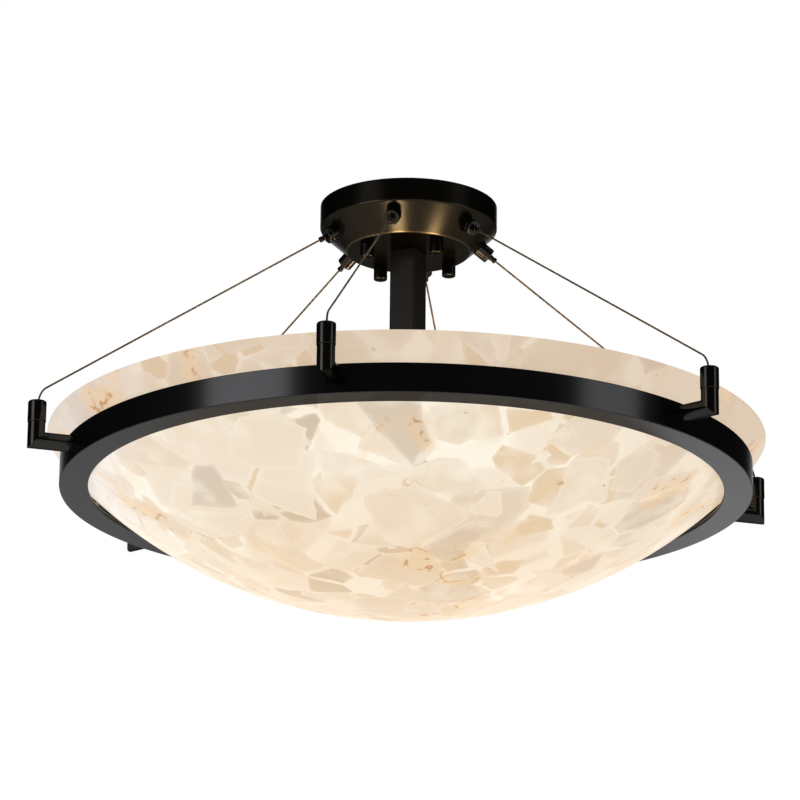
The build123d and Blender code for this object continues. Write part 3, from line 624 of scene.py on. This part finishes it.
# ---------------------------------------------------------------- stem
# A square steel tube with small rounded corners, powder coated satin black. A hollow nipple
# holds it to the canopy above and to the lamp cluster below, and the wires run through it.

STEM_WIDTH = 0.0254
STEM_CORNER = 0.002
STEM_TOP = -CANOPY_DEPTH
STEM_BOTTOM = -0.258
STEM_ANGLE = radians(-24)
STEM_EASING = 0.0003
STEM_CORNER_STEPS = 6
NIPPLE_HOLE = 0.0049


def square_post(name, width, corner, low, high, easing, hole, finish):
    """A post of rounded square section on the light's axis, turned to the stem's angle."""
    form = bmesh.new()
    foot = [(low, easing), (low + easing * 0.3, easing * 0.3), (low + easing, 0), (low + 2 * easing, 0)]
    levels = foot + [(low + high - height, inset) for height, inset in reversed(foot)]
    middle = width / 2 - corner
    rings = []
    for height, inset in levels:
        ring = []
        for quarter in range(4):
            square_on = Matrix.Rotation(quarter * pi / 2 + STEM_ANGLE, 4, "Z")
            for k in range(-1, STEM_CORNER_STEPS + 2):
                turn = pi / 2 * max(0, min(STEM_CORNER_STEPS, k)) / STEM_CORNER_STEPS
                spot = Vector((middle, middle, height)) + (corner - inset) * Vector((cos(turn), sin(turn), 0))
                # One more point on each side of a corner keeps the flats flat when shaded.
                spot.y -= corner * 0.4 * (k < 0)
                spot.x -= corner * 0.4 * (k > STEM_CORNER_STEPS)
                ring.append(form.verts.new(square_on @ spot))
        rings.append(ring)
    for height in (high, low):
        ways = [Vector((vertex.co.x, vertex.co.y, 0)).normalized() for vertex in rings[0]]
        rings.append([form.verts.new(way * hole + Vector((0, 0, height))) for way in ways])
    skin(form, rings, closed=True)
    return put_in_scene(name, mesh_of(form, name), finish)


stem_black = satin_black("stem_black", paint(13, 12, 11), paint(20, 19, 17), 0.3, 0.0, gloss=0.2)
stem_tube = square_post(
    "stem_tube", STEM_WIDTH, STEM_CORNER, STEM_BOTTOM, STEM_TOP, STEM_EASING, NIPPLE_HOLE, stem_black
)
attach(stem_tube, "fixture")
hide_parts("stem")
for node in ("stem_nipple", "cluster_nipple", "nipple_lock_nuts"):
    dress(node, zinc)

# ---------------------------------------------------------------- lamp cluster
# A small steel box under the stem, hidden in the bowl. Its sides carry four moulded plastic
# lampholders in black, and a cover held by a cap nut closes it from below.

LAMP_AXIS = -0.275
LAMP_COUNT = 4
CLUSTER_HALF = 0.028
HOLDER_LENGTH = 0.044
HOLDER_RADIUS = 0.0185
HOLDER_EDGE = 0.0006
HOLDER_NECK_RADIUS = 0.010
HOLDER_NECK_LENGTH = 0.003
HOLDER_NECK_EDGE = 0.0005
HOLDER_SHOULDER = 0.013
HOLDER_SHOULDER_EDGE = 0.0012
HOLDER_NIPPLE_RADIUS = 0.00485
HOLDER_NIPPLE_LENGTH = 0.0071
SOCKET_RADIUS = 0.0133
SOCKET_DEPTH = 0.030
SOCKET_EDGE = 0.0004
RIB_COUNT = 7
FIRST_RIB = 0.017
RIB_PITCH = 0.003
RIB_EDGE = 0.0002
RIB_GROOVE = 0.0006

cluster_black = satin_black("cluster_black", paint(18, 17, 16), paint(30, 28, 26), 0.34, 0.0)
for node in ("cluster_body", "cluster_cover", "cluster_cap_nut"):
    dress(node, cluster_black)

moulded, place = new_finish("holder_plastic")
flow = moulded.grain(place, 60, 4)
plastic_colour = moulded.blend(flow, paint(34, 32, 30), paint(48, 45, 42))
plastic_relief = moulded.relief(0.2, moulded.grain(place, 1400, 2))
holder_plastic = moulded.surface(
    {"Base Color": plastic_colour, "Roughness": 0.38 + 0.15 * flow, "Normal": plastic_relief}
)

holder_corners = [
    (0, -HOLDER_NIPPLE_LENGTH, 0),
    (HOLDER_NIPPLE_RADIUS, -HOLDER_NIPPLE_LENGTH, 0),
    (HOLDER_NIPPLE_RADIUS, 0, 0),
    (HOLDER_NECK_RADIUS, 0, HOLDER_EDGE),
    (HOLDER_NECK_RADIUS, HOLDER_NECK_LENGTH, HOLDER_NECK_EDGE),
    (HOLDER_RADIUS, HOLDER_SHOULDER, HOLDER_SHOULDER_EDGE),
]
for rib in range(RIB_COUNT):
    for sunk, past in ((0, 0), (RIB_GROOVE, 0.0005), (RIB_GROOVE, 0.0013), (0, 0.0018)):
        holder_corners.append((HOLDER_RADIUS - sunk, FIRST_RIB + rib * RIB_PITCH + past, RIB_EDGE))
holder_corners += [
    (HOLDER_RADIUS, HOLDER_LENGTH, HOLDER_EDGE),
    (SOCKET_RADIUS, HOLDER_LENGTH, SOCKET_EDGE),
    (SOCKET_RADIUS, HOLDER_LENGTH - SOCKET_DEPTH, 0),
    (0, HOLDER_LENGTH - SOCKET_DEPTH, 0),
]
holder_outline = outline(holder_corners, arc=2)

lamp_frames = []
for n in range(LAMP_COUNT):
    lamp_angle = STEM_ANGLE + 2 * pi / LAMP_COUNT * n
    at_side = Matrix.Translation(round_light(lamp_angle, CLUSTER_HALF, LAMP_AXIS))
    lamp_frames.append(at_side @ Matrix.Rotation(lamp_angle, 4, "Z") @ Matrix.Rotation(pi / 2, 4, "Y"))
for number, at_lamp in enumerate(lamp_frames, start=1):
    holder = turned(f"lampholder_shell_{number}", holder_outline, holder_plastic, at_lamp, 56, closed=False)
    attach(holder, "fixture")
    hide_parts(f"lampholder_{number}")

# ---------------------------------------------------------------- lamps
# Four round frosted lamps with screw bases. They are lit, with a warm white light clouded
# by the frost. Their glow also lights the canopy's cone.

BULB_RADIUS = 0.030
BULB_LENGTH = 0.108
BULB_NECK_RADIUS = 0.0145
BULB_BASE_RADIUS = 0.0129
BULB_BASE_LENGTH = 0.0266
BULB_CONTACT_RADIUS = 0.0045
BULB_THREAD_DEPTH = 0.0004
BULB_THREAD_STEP = 0.0006
BULB_NECK = HOLDER_LENGTH + REST_GAP
BULB_FOOT = BULB_NECK - BULB_BASE_LENGTH
GLOBE_STEPS = 28
NECK_STEPS = 6
THREAD_STEPS = 36
GLOW_WATTS = 0.24
GLOW_COLOUR = (1.0, 0.72, 0.36)
GLOW_OVER_GLOBE = 0.002

frosted, place = new_finish("lamp_glass")
frost = frosted.grain(place, 120, 4)
lamp_glass = frosted.surface(
    {
        "Base Color": paint(240, 232, 218),
        "Roughness": 0.3 + 0.1 * frost,
        "Normal": frosted.relief(0.1, frost),
        "Emission Color": frosted.blend(frost, (1.0, 0.66, 0.36, 1), (1.0, 0.74, 0.46, 1)),
        "Emission Strength": 6.0,
    }
)

bulb_centre = BULB_FOOT + BULB_LENGTH - BULB_RADIUS
neck_run = bulb_centre - BULB_NECK
neck_turn = asin(BULB_RADIUS / hypot(neck_run, BULB_NECK_RADIUS)) - atan2(BULB_NECK_RADIUS, neck_run)
glass_points = [Vector((0.0, bulb_centre + BULB_RADIUS))]
for k in range(1, GLOBE_STEPS + 1):
    turn = k / GLOBE_STEPS * (pi / 2 + neck_turn)
    glass_points.append(Vector((BULB_RADIUS * sin(turn), bulb_centre + BULB_RADIUS * cos(turn))))
globe_end = glass_points[-1]
for k in range(1, NECK_STEPS + 1):
    glass_points.append(globe_end.lerp(Vector((BULB_NECK_RADIUS, BULB_NECK)), k / NECK_STEPS))
glass_points += [Vector((BULB_BASE_RADIUS, BULB_NECK)), Vector((0, BULB_NECK))]
base_points = [Vector((0, BULB_NECK)), Vector((BULB_BASE_RADIUS, BULB_NECK))]
for k in range(1, THREAD_STEPS + 1):
    sunk = BULB_THREAD_DEPTH * (k % 4 in (2, 3))
    base_points.append(Vector((BULB_BASE_RADIUS - sunk, BULB_NECK - BULB_THREAD_STEP * k)))
base_points += [Vector((BULB_CONTACT_RADIUS, BULB_FOOT)), Vector((0, BULB_FOOT))]
for number, at_lamp in enumerate(lamp_frames, start=1):
    glow = bpy.data.objects.new(f"glow_{number}", bpy.data.lights.new(f"glow_{number}", "AREA"))
    glow.data.shape = "DISK"
    glow.data.size = 2 * BULB_RADIUS
    glow.data.energy = GLOW_WATTS
    glow.data.color = GLOW_COLOUR
    glow.location = at_lamp @ Vector((0, 0, bulb_centre)) + Vector((0, 0, BULB_RADIUS + GLOW_OVER_GLOBE))
    glow.rotation_euler = (pi, 0, 0)
    glow.visible_camera = False
    scene.collection.objects.link(glow)
    globe = turned(f"lamp_globe_{number}", glass_points, lamp_glass, at_lamp, 56, closed=False)
    screw_base = turned(f"lamp_base_{number}", base_points, zinc, at_lamp, 40, closed=False)
    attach(globe, f"bulb_{number}")
    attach(screw_base, f"bulb_{number}")
    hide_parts(f"bulb_{number}")

# ---------------------------------------------------------------- angle ring
# Equal steel angle rolled leg out into a hoop, butt welded, ground and finished satin black.
# Its flange points inward under the bowl, and shows the marks of the brushing on its face.

RING_RADIUS = 0.3048
RING_TOP = -0.2438
RING_LEG = 0.0254
RING_THICKNESS = 0.004
RING_TOE = 0.002
RING_ROOT = 0.001
RING_EDGE = 0.0005
RING_HEEL = 0.0007
RING_STEPS = 288

ring_black = satin_black(
    "ring_black", paint(54, 54, 56), paint(68, 68, 69), 0.12, 0.45, metal=0.98, graze=0.5
)
ring_bottom = RING_TOP - RING_LEG
ring_corners = [
    (RING_RADIUS, RING_TOP, RING_EDGE),
    (RING_RADIUS, ring_bottom, RING_HEEL),
    (RING_RADIUS - RING_LEG, ring_bottom, RING_EDGE),
    (RING_RADIUS - RING_LEG, ring_bottom + RING_THICKNESS, RING_TOE),
    (RING_RADIUS - RING_THICKNESS, ring_bottom + RING_THICKNESS, RING_ROOT),
    (RING_RADIUS - RING_THICKNESS, RING_TOP, RING_TOE),
]
hoop = turned("angle_hoop", outline(ring_corners), ring_black, steps=RING_STEPS)
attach(hoop, "fixture")
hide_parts("ring")

# ---------------------------------------------------------------- bowl
# A shallow bowl cast from chips of pale stone set in clear cream resin, polished outside and
# lit from inside, and that light is painted on as a glow of its own. The resin shows as bright seams, and a
# few chips carry rusty veins.

BOWL_CROWN = 0.419689
BOWL_SHOULDER_START = 0.290
BOWL_SHOULDER = 0.184
BOWL_RIM_RADIUS = 0.3182
BOWL_WALL = 0.0065
BOWL_EDGE = 0.0018
PAD_CIRCLE = 0.2845
PAD_RADIUS = 0.004
PAD_THICKNESS = 0.0025
BOWL_STEPS = 216
CROWN_STEPS = 40
SHOULDER_STEPS = 12
CHIP_GAP = 0.08
CLEAR_RESIN = paint(255, 246, 228)

cast, place = new_finish("bowl_stone")


def bent(place, scale, reach, detail):
    """The coordinates, pushed about by noise, so that straight edges wander."""
    swirl = cast.add("TexNoise", 1, None, {"Vector": place, "Scale": scale, "Detail": detail})
    centred = cast.add("VectorMath", 0, {"operation": "SUBTRACT"}, {0: swirl, 1: (0.5, 0.5, 0.5)})
    settings = {"operation": "MULTIPLY_ADD"}
    return cast.add("VectorMath", 0, settings, {0: centred, 1: (reach, reach, reach), 2: place})


def lay_chips(under, seed, scale, share, soft, strength, tones):
    """Lays broken chips over what is under them, in a share of the cells. Each chip has a tone
    and clouds of its own, and falls short of its cell by its own part of the gap. Gives back
    the colour, how much of a chip lies at each point, and a line round the chips."""
    moved = cast.add("VectorMath", 0, {"operation": "ADD"}, {0: place, 1: seed})
    broken = bent(bent(moved, 9.0, 0.02, 1.0), 75.0, 0.005, 3.0)
    cells = {"Vector": broken, "Scale": scale, "Randomness": 1.0}
    edge = cast.add("TexVoronoi", 0, {"feature": "DISTANCE_TO_EDGE"}, cells)
    numbers = cast.add("TexVoronoi", 1, {"feature": "F1"}, cells)
    taken = cast.add("SeparateColor", 0, None, {0: numbers})
    tone = cast.add("SeparateColor", 1, None, {0: numbers})
    short = CHIP_GAP * cast.add("SeparateColor", 2, None, {0: numbers})
    inside = cast.ramp(edge - short, 0.0, soft)
    laid = inside * cast.ramp(taken + share, 0.99, 1.01)
    settings = {"operation": "MULTIPLY_ADD"}
    own_place = cast.add("VectorMath", 0, settings, {0: numbers, 1: (0.9, 0.9, 0.9), 2: broken})
    clouds = cast.grain(own_place, 22, 5)
    colour = cast.blend(cast.ramp(tone, 0.1, 0.7), tones[0], tones[1])
    colour = cast.blend(cast.ramp(tone, 0.82, 0.86), colour, tones[2])
    colour = cast.blend(0.55 * cast.ramp(clouds, 0.48, 0.68), colour, CLEAR_RESIN)
    colour = cast.blend(0.3 * cast.ramp(edge - short, 0.1, 0.0), colour, CLEAR_RESIN)
    line = 4 * laid * (1 - inside)
    return cast.blend(strength * laid, under, colour), laid, line


cloud = cast.grain(place, 26, 5)
mist = cast.grain(place, 6.5, 3)
height = cast.add("SeparateXYZ", 2, None, {0: place})
across = cast.add("SeparateXYZ", 0, None, {0: place})
low_part = cast.ramp(height, -0.3, -0.36)
rim_part = cast.ramp(height, -0.262, -0.245)

# Chips lie in four layers. The lower ones are dim and soft, because they lie deep in the resin.
stone = cast.blend(cast.ramp(mist, 0.35, 0.65), CLEAR_RESIN, paint(251, 238, 216))
far_tones = paint(237, 219, 196), paint(244, 229, 208), paint(230, 209, 182)
stone, _, _ = lay_chips(stone, (0.15, 0.66, 0.37), 12.0, 0.75, 0.06, 0.75, far_tones)
small_tones = paint(238, 219, 194), paint(229, 203, 168), paint(208, 188, 163)
small_share = 0.4 + 0.4 * low_part
stone, _, small_line = lay_chips(stone, (0.73, 0.44, 0.21), 29.0, small_share, 0.025, 0.9, small_tones)
large_tones = paint(241, 225, 204), paint(229, 211, 188), paint(203, 186, 167)
large_share = 0.68 - 0.5 * low_part - 0.1 * rim_part
stone, large_laid, large_line = lay_chips(
    stone, (0.31, 0.12, 0.05), 13.0, large_share, 0.012, 0.95, large_tones
)
mid_tones = paint(244, 229, 208), paint(232, 214, 190), paint(214, 197, 176)
mid_share = 0.5 - 0.15 * low_part
stone, _, mid_line = lay_chips(stone, (0.52, 0.08, 0.81), 19.0, mid_share, 0.016, 0.9, mid_tones)

# The lowest part is warmer, the left is washed out to near white, the right is duller, and
# the rim, which the lamps light less, is darker.
stone = cast.blend(0.32 * low_part, stone, paint(232, 192, 140))
stone = cast.blend(0.32 * cast.ramp(across, 0.05, 0.3), stone, paint(206, 176, 146))
stone = cast.blend(0.75 * cast.ramp(across, -0.2, -0.31), stone, paint(246, 240, 238))
stone = cast.blend(0.4 * rim_part, stone, paint(200, 172, 146))

# Rust stains some edges and runs in fine veins, and a few red specks lie in the resin.
rust_zone = cast.grain(place, 12, 2) + 0.11 * cast.ramp(across * across, 0.006, 0.04)
rust_zone = rust_zone + 0.06 * low_part
broken_up = cast.ramp(cast.grain(place, 75, 4), 0.42, 0.62)
edge_line = large_line + mid_line + 0.6 * small_line
stain = cast.ramp(rust_zone, 0.54, 0.64) * broken_up * edge_line
stone = cast.blend(0.6 * stain, stone, paint(200, 152, 100))
vein_field = cast.grain(place, 11, 4) - 0.5
vein = cast.ramp(vein_field * vein_field, 0.00012, 0.0) * cast.ramp(rust_zone, 0.59, 0.68)
halo = cast.ramp(vein_field * vein_field, 0.006, 0.0) * cast.ramp(rust_zone, 0.58, 0.72)
stone = cast.blend(0.5 * halo, stone, paint(240, 204, 156))
stone = cast.blend(0.8 * vein * broken_up, stone, paint(194, 138, 84))
speck = cast.ramp(cast.grain(place, 210, 1), 0.8, 0.83)
stone = cast.blend(0.8 * speck, stone, paint(190, 96, 62))

# Painted glow: the stone's colour is given out as emission, standing in for the lamps' light through the
# bowl. So its seams, its lighter and darker zones and its darker rim are painted light as well as the stone's
# own colour. The base colour is dimmed to match.
stone_painted_glow = cast.surface(
    {
        "Base Color": cast.blend(0.85, stone, (0, 0, 0, 1)),
        "Roughness": 0.3 + 0.12 * cloud,
        "Specular IOR Level": 0.12,
        "Normal": cast.relief(0.12, large_laid * 0.6 + cloud * 0.4, 0.0004),
        "Emission Color": stone,
        "Emission Strength": 0.9,
    }
)

flange_top = ring_bottom + RING_THICKNESS
crown_centre = flange_top + PAD_THICKNESS + REST_GAP + sqrt(BOWL_CROWN**2 - (PAD_CIRCLE - PAD_RADIUS) ** 2)
shoulder_from = asin(BOWL_SHOULDER_START / BOWL_CROWN)
shoulder_to = asin(sin(shoulder_from) + (BOWL_RIM_RADIUS - BOWL_SHOULDER_START) / BOWL_SHOULDER)
shoulder_out = (BOWL_CROWN - BOWL_SHOULDER) * sin(shoulder_from)
shoulder_up = crown_centre - (BOWL_CROWN - BOWL_SHOULDER) * cos(shoulder_from)
rim_height = shoulder_up - BOWL_SHOULDER * cos(shoulder_to)
inner_to = acos((shoulder_up - rim_height) / (BOWL_SHOULDER - BOWL_WALL))


def bowl_curve(wall, last_turn):
    """Half the section of one face of the bowl, from its lowest point up to the rim."""
    curve = []
    run = BOWL_CROWN - wall
    for k in range(CROWN_STEPS + 1):
        turn = shoulder_from * k / CROWN_STEPS
        curve.append(Vector((run * sin(turn), crown_centre - run * cos(turn))))
    run = BOWL_SHOULDER - wall
    for k in range(1, SHOULDER_STEPS + 1):
        turn = shoulder_from + (last_turn - shoulder_from) * k / SHOULDER_STEPS
        curve.append(Vector((shoulder_out + run * sin(turn), shoulder_up - run * cos(turn))))
    return curve


outer_face = bowl_curve(0, shoulder_to)
inner_face = bowl_curve(BOWL_WALL, inner_to)
rim_corners = [
    (*outer_face[-4], 0),
    (*outer_face[-1], BOWL_EDGE),
    (*inner_face[-1], BOWL_EDGE),
    (*inner_face[-2], 0),
]
bowl_points = outer_face[:-4] + outline(rim_corners, arc=6) + inner_face[-3::-1]
bowl_shell = turned("bowl_shell", bowl_points, stone_painted_glow, steps=BOWL_STEPS, closed=False, crisp=pi)
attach(bowl_shell, "bowl")
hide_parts("bowl")

# ---------------------------------------------------------------- bowl pads
# Six small discs of clear rubber are stuck on the flange, so that the stone bowl rests soft
# and doesn't rattle. Their tops are slightly domed.

PAD_DOME = [(0, PAD_THICKNESS), (0, 0.0009), (0.0003, 0.0004), (0.0009, 0.0001), (0.002, 0), (PAD_RADIUS, 0)]

soft_clear, place = new_finish("clear_rubber")
bloom = soft_clear.grain(place, 300, 3)
clear_rubber = soft_clear.surface(
    {
        "Base Color": soft_clear.blend(bloom, paint(222, 226, 226), paint(238, 240, 238)),
        "Roughness": 0.3 + 0.2 * bloom,
        "Transmission Weight": 0.55,
        "IOR": 1.4,
        "Normal": soft_clear.relief(0.15, bloom),
    }
)
pad_top = flange_top + PAD_THICKNESS
pad_points = [Vector((0, flange_top))]
pad_points += [Vector((PAD_RADIUS - inset, pad_top - drop)) for inset, drop in PAD_DOME]
pad = turned("pad", pad_points, clear_rubber, steps=32, closed=False)
pad_first = FIRST_BRACKET_ANGLE + pi / BRACKET_COUNT
pads = set_round(pad, "bowl_pad_set", clear_rubber, circle=PAD_CIRCLE, first_angle=pad_first)
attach(pads, "fixture")
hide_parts("bowl_pads")

# ---------------------------------------------------------------- brackets and caps
# Six right-angle brackets of round steel bar, mitred and welded, are screwed on the ring from
# inside. A turned cap goes over the spigot on each post, with the rope through its roof.

ROD_RADIUS = 0.00756
ARM_HEIGHT = -0.2537
CAP_BOTTOM = -0.2378
CAP_TOP = -0.2188
CAP_RADIUS = 0.008
CAP_ROOF = 0.004
CAP_EDGE = 0.0015
SEAM_EDGE = 0.0003
ROD_SIDES = 48
ARM_SUNK = 0.0001
ARM_STRAIGHT = 0.004
POST_STRAIGHT = 0.012
WELD_HALF = 0.0004
ROPE_HOLE = 0.0014
SPIGOT_BORE = 0.0051
TURNED_EDGE = 0.0001
FINE_EDGE = 0.0002
SCREW_HEAD_RADIUS = 0.0052
SCREW_HEAD = 0.003
SCREW_SOCKET_RADIUS = 0.0018
SCREW_SOCKET_FLOOR = 0.0012
SCREW_RADIUS = 0.003
SCREW_LENGTH = 0.0177
STOP_RADIUS = 0.003
STOP_BORE = 0.00095
STOP_LENGTH = 0.006
STOP_PINCH = 0.0003
STOP_STEPS = 12

# Rings of points across the arm, in the mitre and across the post.
rod_rings = [
    ("arm", RING_RADIUS - ARM_SUNK, ROD_RADIUS),
    ("arm", RING_RADIUS + ARM_STRAIGHT, ROD_RADIUS),
    ("mitre", -WELD_HALF, ROD_RADIUS),
    ("mitre", 0, ROD_RADIUS),
    ("mitre", WELD_HALF, ROD_RADIUS),
    ("post", ARM_HEIGHT + POST_STRAIGHT, ROD_RADIUS),
    ("post", CAP_BOTTOM - SEAM_EDGE, ROD_RADIUS),
    ("post", CAP_BOTTOM, ROD_RADIUS - SEAM_EDGE),
]
form = bmesh.new()
rings = []
for stretch, reach, radius in rod_rings:
    rings.append([])
    for n in range(ROD_SIDES):
        spoke = 2 * pi * n / ROD_SIDES
        side, lift = radius * cos(spoke), radius * sin(spoke)
        # lift is up on the arm, and inward on the post, so that both meet in the mitre.
        spot = Vector((POST_CIRCLE - lift, side, ARM_HEIGHT + lift))
        if stretch == "arm":
            spot.x = reach
        elif stretch == "post":
            spot.z = reach
        else:
            spot += Vector((min(reach, 0), 0, max(reach, 0)))
        rings[-1].append(form.verts.new(spot))
skin(form, rings)
form.faces.new(rings[0])
form.faces.new(rings[-1])
rod_mesh = mesh_of(form, "rod", radians(20))
black_tones = paint(48, 47, 46), paint(60, 59, 57)
bracket_black = satin_black(
    "bracket_black", *black_tones, 0.1, 0.25, metal=0.97, graze=0.35, relief_depth=0.03
)
rod = put_in_scene("rod", rod_mesh, bracket_black)
rods = set_round(rod, "bracket_rods", bracket_black)
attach(rods, "fixture")
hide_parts(*[f"bracket_{n}" for n in range(1, BRACKET_COUNT + 1)])

cap_corners = [
    (ROPE_HOLE, CAP_TOP, SEAM_EDGE),
    (CAP_RADIUS, CAP_TOP, CAP_EDGE),
    (CAP_RADIUS, CAP_BOTTOM + SEAM_EDGE, TURNED_EDGE),
    (CAP_RADIUS - SEAM_EDGE, CAP_BOTTOM, TURNED_EDGE),
    (SPIGOT_BORE, CAP_BOTTOM, 0),
    (SPIGOT_BORE, CAP_TOP - CAP_ROOF, 0),
    (ROPE_HOLE, CAP_TOP - CAP_ROOF, 0),
]
cap = turned("cap", outline(cap_corners), bracket_black, steps=48)
caps = set_round(cap, "rope_cap_set", bracket_black, circle=POST_CIRCLE)
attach(caps, "fixture")
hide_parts(*[f"rope_cap_{n}" for n in range(1, BRACKET_COUNT + 1)])

# The screws have flat heads with a drive socket, and bear on the inside of the ring's leg.
head_seat = sqrt((RING_RADIUS - RING_THICKNESS) ** 2 - SCREW_HEAD_RADIUS**2)
at_screw = Matrix.Translation((head_seat, 0, ARM_HEIGHT)) @ Matrix.Rotation(-pi / 2, 4, "Y")
screw_corners = [
    (0, SCREW_SOCKET_FLOOR, 0),
    (SCREW_SOCKET_RADIUS - FINE_EDGE, SCREW_SOCKET_FLOOR, 0),
    (SCREW_SOCKET_RADIUS, SCREW_HEAD, TURNED_EDGE),
    (SCREW_HEAD_RADIUS, SCREW_HEAD, 0.0008),
    (SCREW_HEAD_RADIUS, 0, FINE_EDGE),
    (SCREW_RADIUS, 0, 0),
    (SCREW_RADIUS, -SCREW_LENGTH, 0.0005),
    (0, -SCREW_LENGTH, 0),
]
screw = turned("screw", outline(screw_corners), zinc, at_screw, steps=36, closed=False)
screws = set_round(screw, "ring_screws", zinc)
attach(screws, "fixture")
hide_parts("bracket_screws")

# A soft metal sleeve is crimped on the rope's end, and hangs under the cap's roof.
crimp_metal = steel("crimp_metal", paint(112, 106, 96), paint(176, 168, 152), 0.34)
stop_points = []
for k in range(STOP_STEPS + 1):
    pinch = STOP_PINCH * (1 - cos(2 * pi * k / 6)) / 2
    stop_points.append(Vector((STOP_RADIUS - pinch, ROPE_END_HEIGHT + STOP_LENGTH / STOP_STEPS * k)))
stop_points += [Vector((STOP_BORE, ROPE_END_HEIGHT + STOP_LENGTH)), Vector((STOP_BORE, ROPE_END_HEIGHT))]
stop = turned("stop", stop_points, crimp_metal, steps=28)
stop_set = set_round(stop, "crimped_stops", crimp_metal, circle=POST_CIRCLE)
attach(stop_set, "fixture")
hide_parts("rope_stops")

# ---------------------------------------------------------------- rope grippers
# Each rope passes a turned barrel on the canopy's cone. A stud and a hex nut hold the barrel
# in the sheet, and a sprung nozzle in its mouth frees the jaws when it is pushed in.

GRIPPER_RADIUS = 0.007
GRIPPER_LENGTH = 0.011
GRIPPER_EDGE = 0.0009
GRIPPER_SEAT = -0.0022
GRIPPER_STUD_RADIUS = 0.005
GRIPPER_STUD_END = -0.010
# Width over the flats, height, hole and foot of the nut on the stud.
GRIPPER_NUT = (0.014, 0.003, 0.0051, -0.0065)
GROOVE_HEIGHT = 0.0069
GROOVE_DEPTH = 0.0003
MOUTH_RADIUS = 0.0040
MOUTH_INNER_RADIUS = 0.0036
MOUTH_DEPTH = 0.0006
CHAMBER_RADIUS = 0.0046
CHAMBER_FLOOR = 0.003
CHAMBER_ROOF = 0.008
NOZZLE_BORE = 0.00266
NOZZLE_RADIUS = 0.0026
NOZZLE_FOOT = 0.0053
NOZZLE_TIP = 0.018
NOZZLE_EDGE = 0.0006
COLLAR_RADIUS = 0.0042
COLLAR_FOOT = 0.0067
COLLAR_TOP = 0.0077
NECK_FOOT = 0.0136
NECK_TOP = 0.0153
NECK_DEPTH = 0.0005

along_rope = Matrix.Translation((GRIPPER_CIRCLE, 0, GRIPPER_HEIGHT))
along_rope = along_rope @ Matrix.Rotation(pi / 2 + rope_fall, 4, "Y")
gripper_corners = [
    (ROPE_HOLE, GRIPPER_STUD_END, 0),
    (GRIPPER_STUD_RADIUS, GRIPPER_STUD_END, 0.0004),
    (GRIPPER_STUD_RADIUS, GRIPPER_SEAT, 0),
    (GRIPPER_RADIUS, GRIPPER_SEAT, 0),
    (GRIPPER_RADIUS, GROOVE_HEIGHT - GROOVE_DEPTH, TURNED_EDGE),
    (GRIPPER_RADIUS - GROOVE_DEPTH, GROOVE_HEIGHT, TURNED_EDGE),
    (GRIPPER_RADIUS, GROOVE_HEIGHT + GROOVE_DEPTH, TURNED_EDGE),
    (GRIPPER_RADIUS, GRIPPER_LENGTH, GRIPPER_EDGE),
    (MOUTH_RADIUS, GRIPPER_LENGTH, FINE_EDGE),
    (MOUTH_INNER_RADIUS, GRIPPER_LENGTH - MOUTH_DEPTH, TURNED_EDGE),
    (NOZZLE_BORE, GRIPPER_LENGTH - MOUTH_DEPTH, 0),
    (NOZZLE_BORE, CHAMBER_ROOF, 0),
    (CHAMBER_RADIUS, CHAMBER_ROOF, 0),
    (CHAMBER_RADIUS, CHAMBER_FLOOR, 0),
    (ROPE_HOLE, CHAMBER_FLOOR, 0),
]
barrel = turned("barrel", outline(gripper_corners), bracket_black, along_rope, steps=56)
barrels = set_round(barrel, "gripper_barrels", bracket_black)
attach(barrels, "fixture")
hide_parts(*[f"gripper_{n}" for n in range(1, BRACKET_COUNT + 1)])

gripper_nut = hex_nut("gripper_nut", *GRIPPER_NUT, zinc, along_rope)
gripper_nuts = set_round(gripper_nut, "gripper_nut_set", zinc)
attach(gripper_nuts, "fixture")
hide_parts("gripper_nuts")

nozzle_corners = [
    (ROPE_HOLE, NOZZLE_FOOT, 0),
    (NOZZLE_RADIUS, NOZZLE_FOOT, 0),
    (NOZZLE_RADIUS, COLLAR_FOOT, 0),
    (COLLAR_RADIUS, COLLAR_FOOT, TURNED_EDGE),
    (COLLAR_RADIUS, COLLAR_TOP, TURNED_EDGE),
    (NOZZLE_RADIUS, COLLAR_TOP, 0),
    (NOZZLE_RADIUS, NECK_FOOT, TURNED_EDGE),
    (NOZZLE_RADIUS - NECK_DEPTH, NECK_FOOT + NECK_DEPTH, TURNED_EDGE),
    (NOZZLE_RADIUS - NECK_DEPTH, NECK_TOP - NECK_DEPTH, TURNED_EDGE),
    (NOZZLE_RADIUS, NECK_TOP, FINE_EDGE),
    (NOZZLE_RADIUS, NOZZLE_TIP, NOZZLE_EDGE),
    (ROPE_HOLE, NOZZLE_TIP, FINE_EDGE),
]
for number, angle in enumerate(bracket_angles, start=1):
    at_gripper = Matrix.Rotation(angle, 4, "Z") @ along_rope
    nozzle = turned(f"nozzle_sleeve_{number}", outline(nozzle_corners), nut_black, at_gripper, steps=40)
    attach(nozzle, f"release_nozzle_{number}")
    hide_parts(f"release_nozzle_{number}")
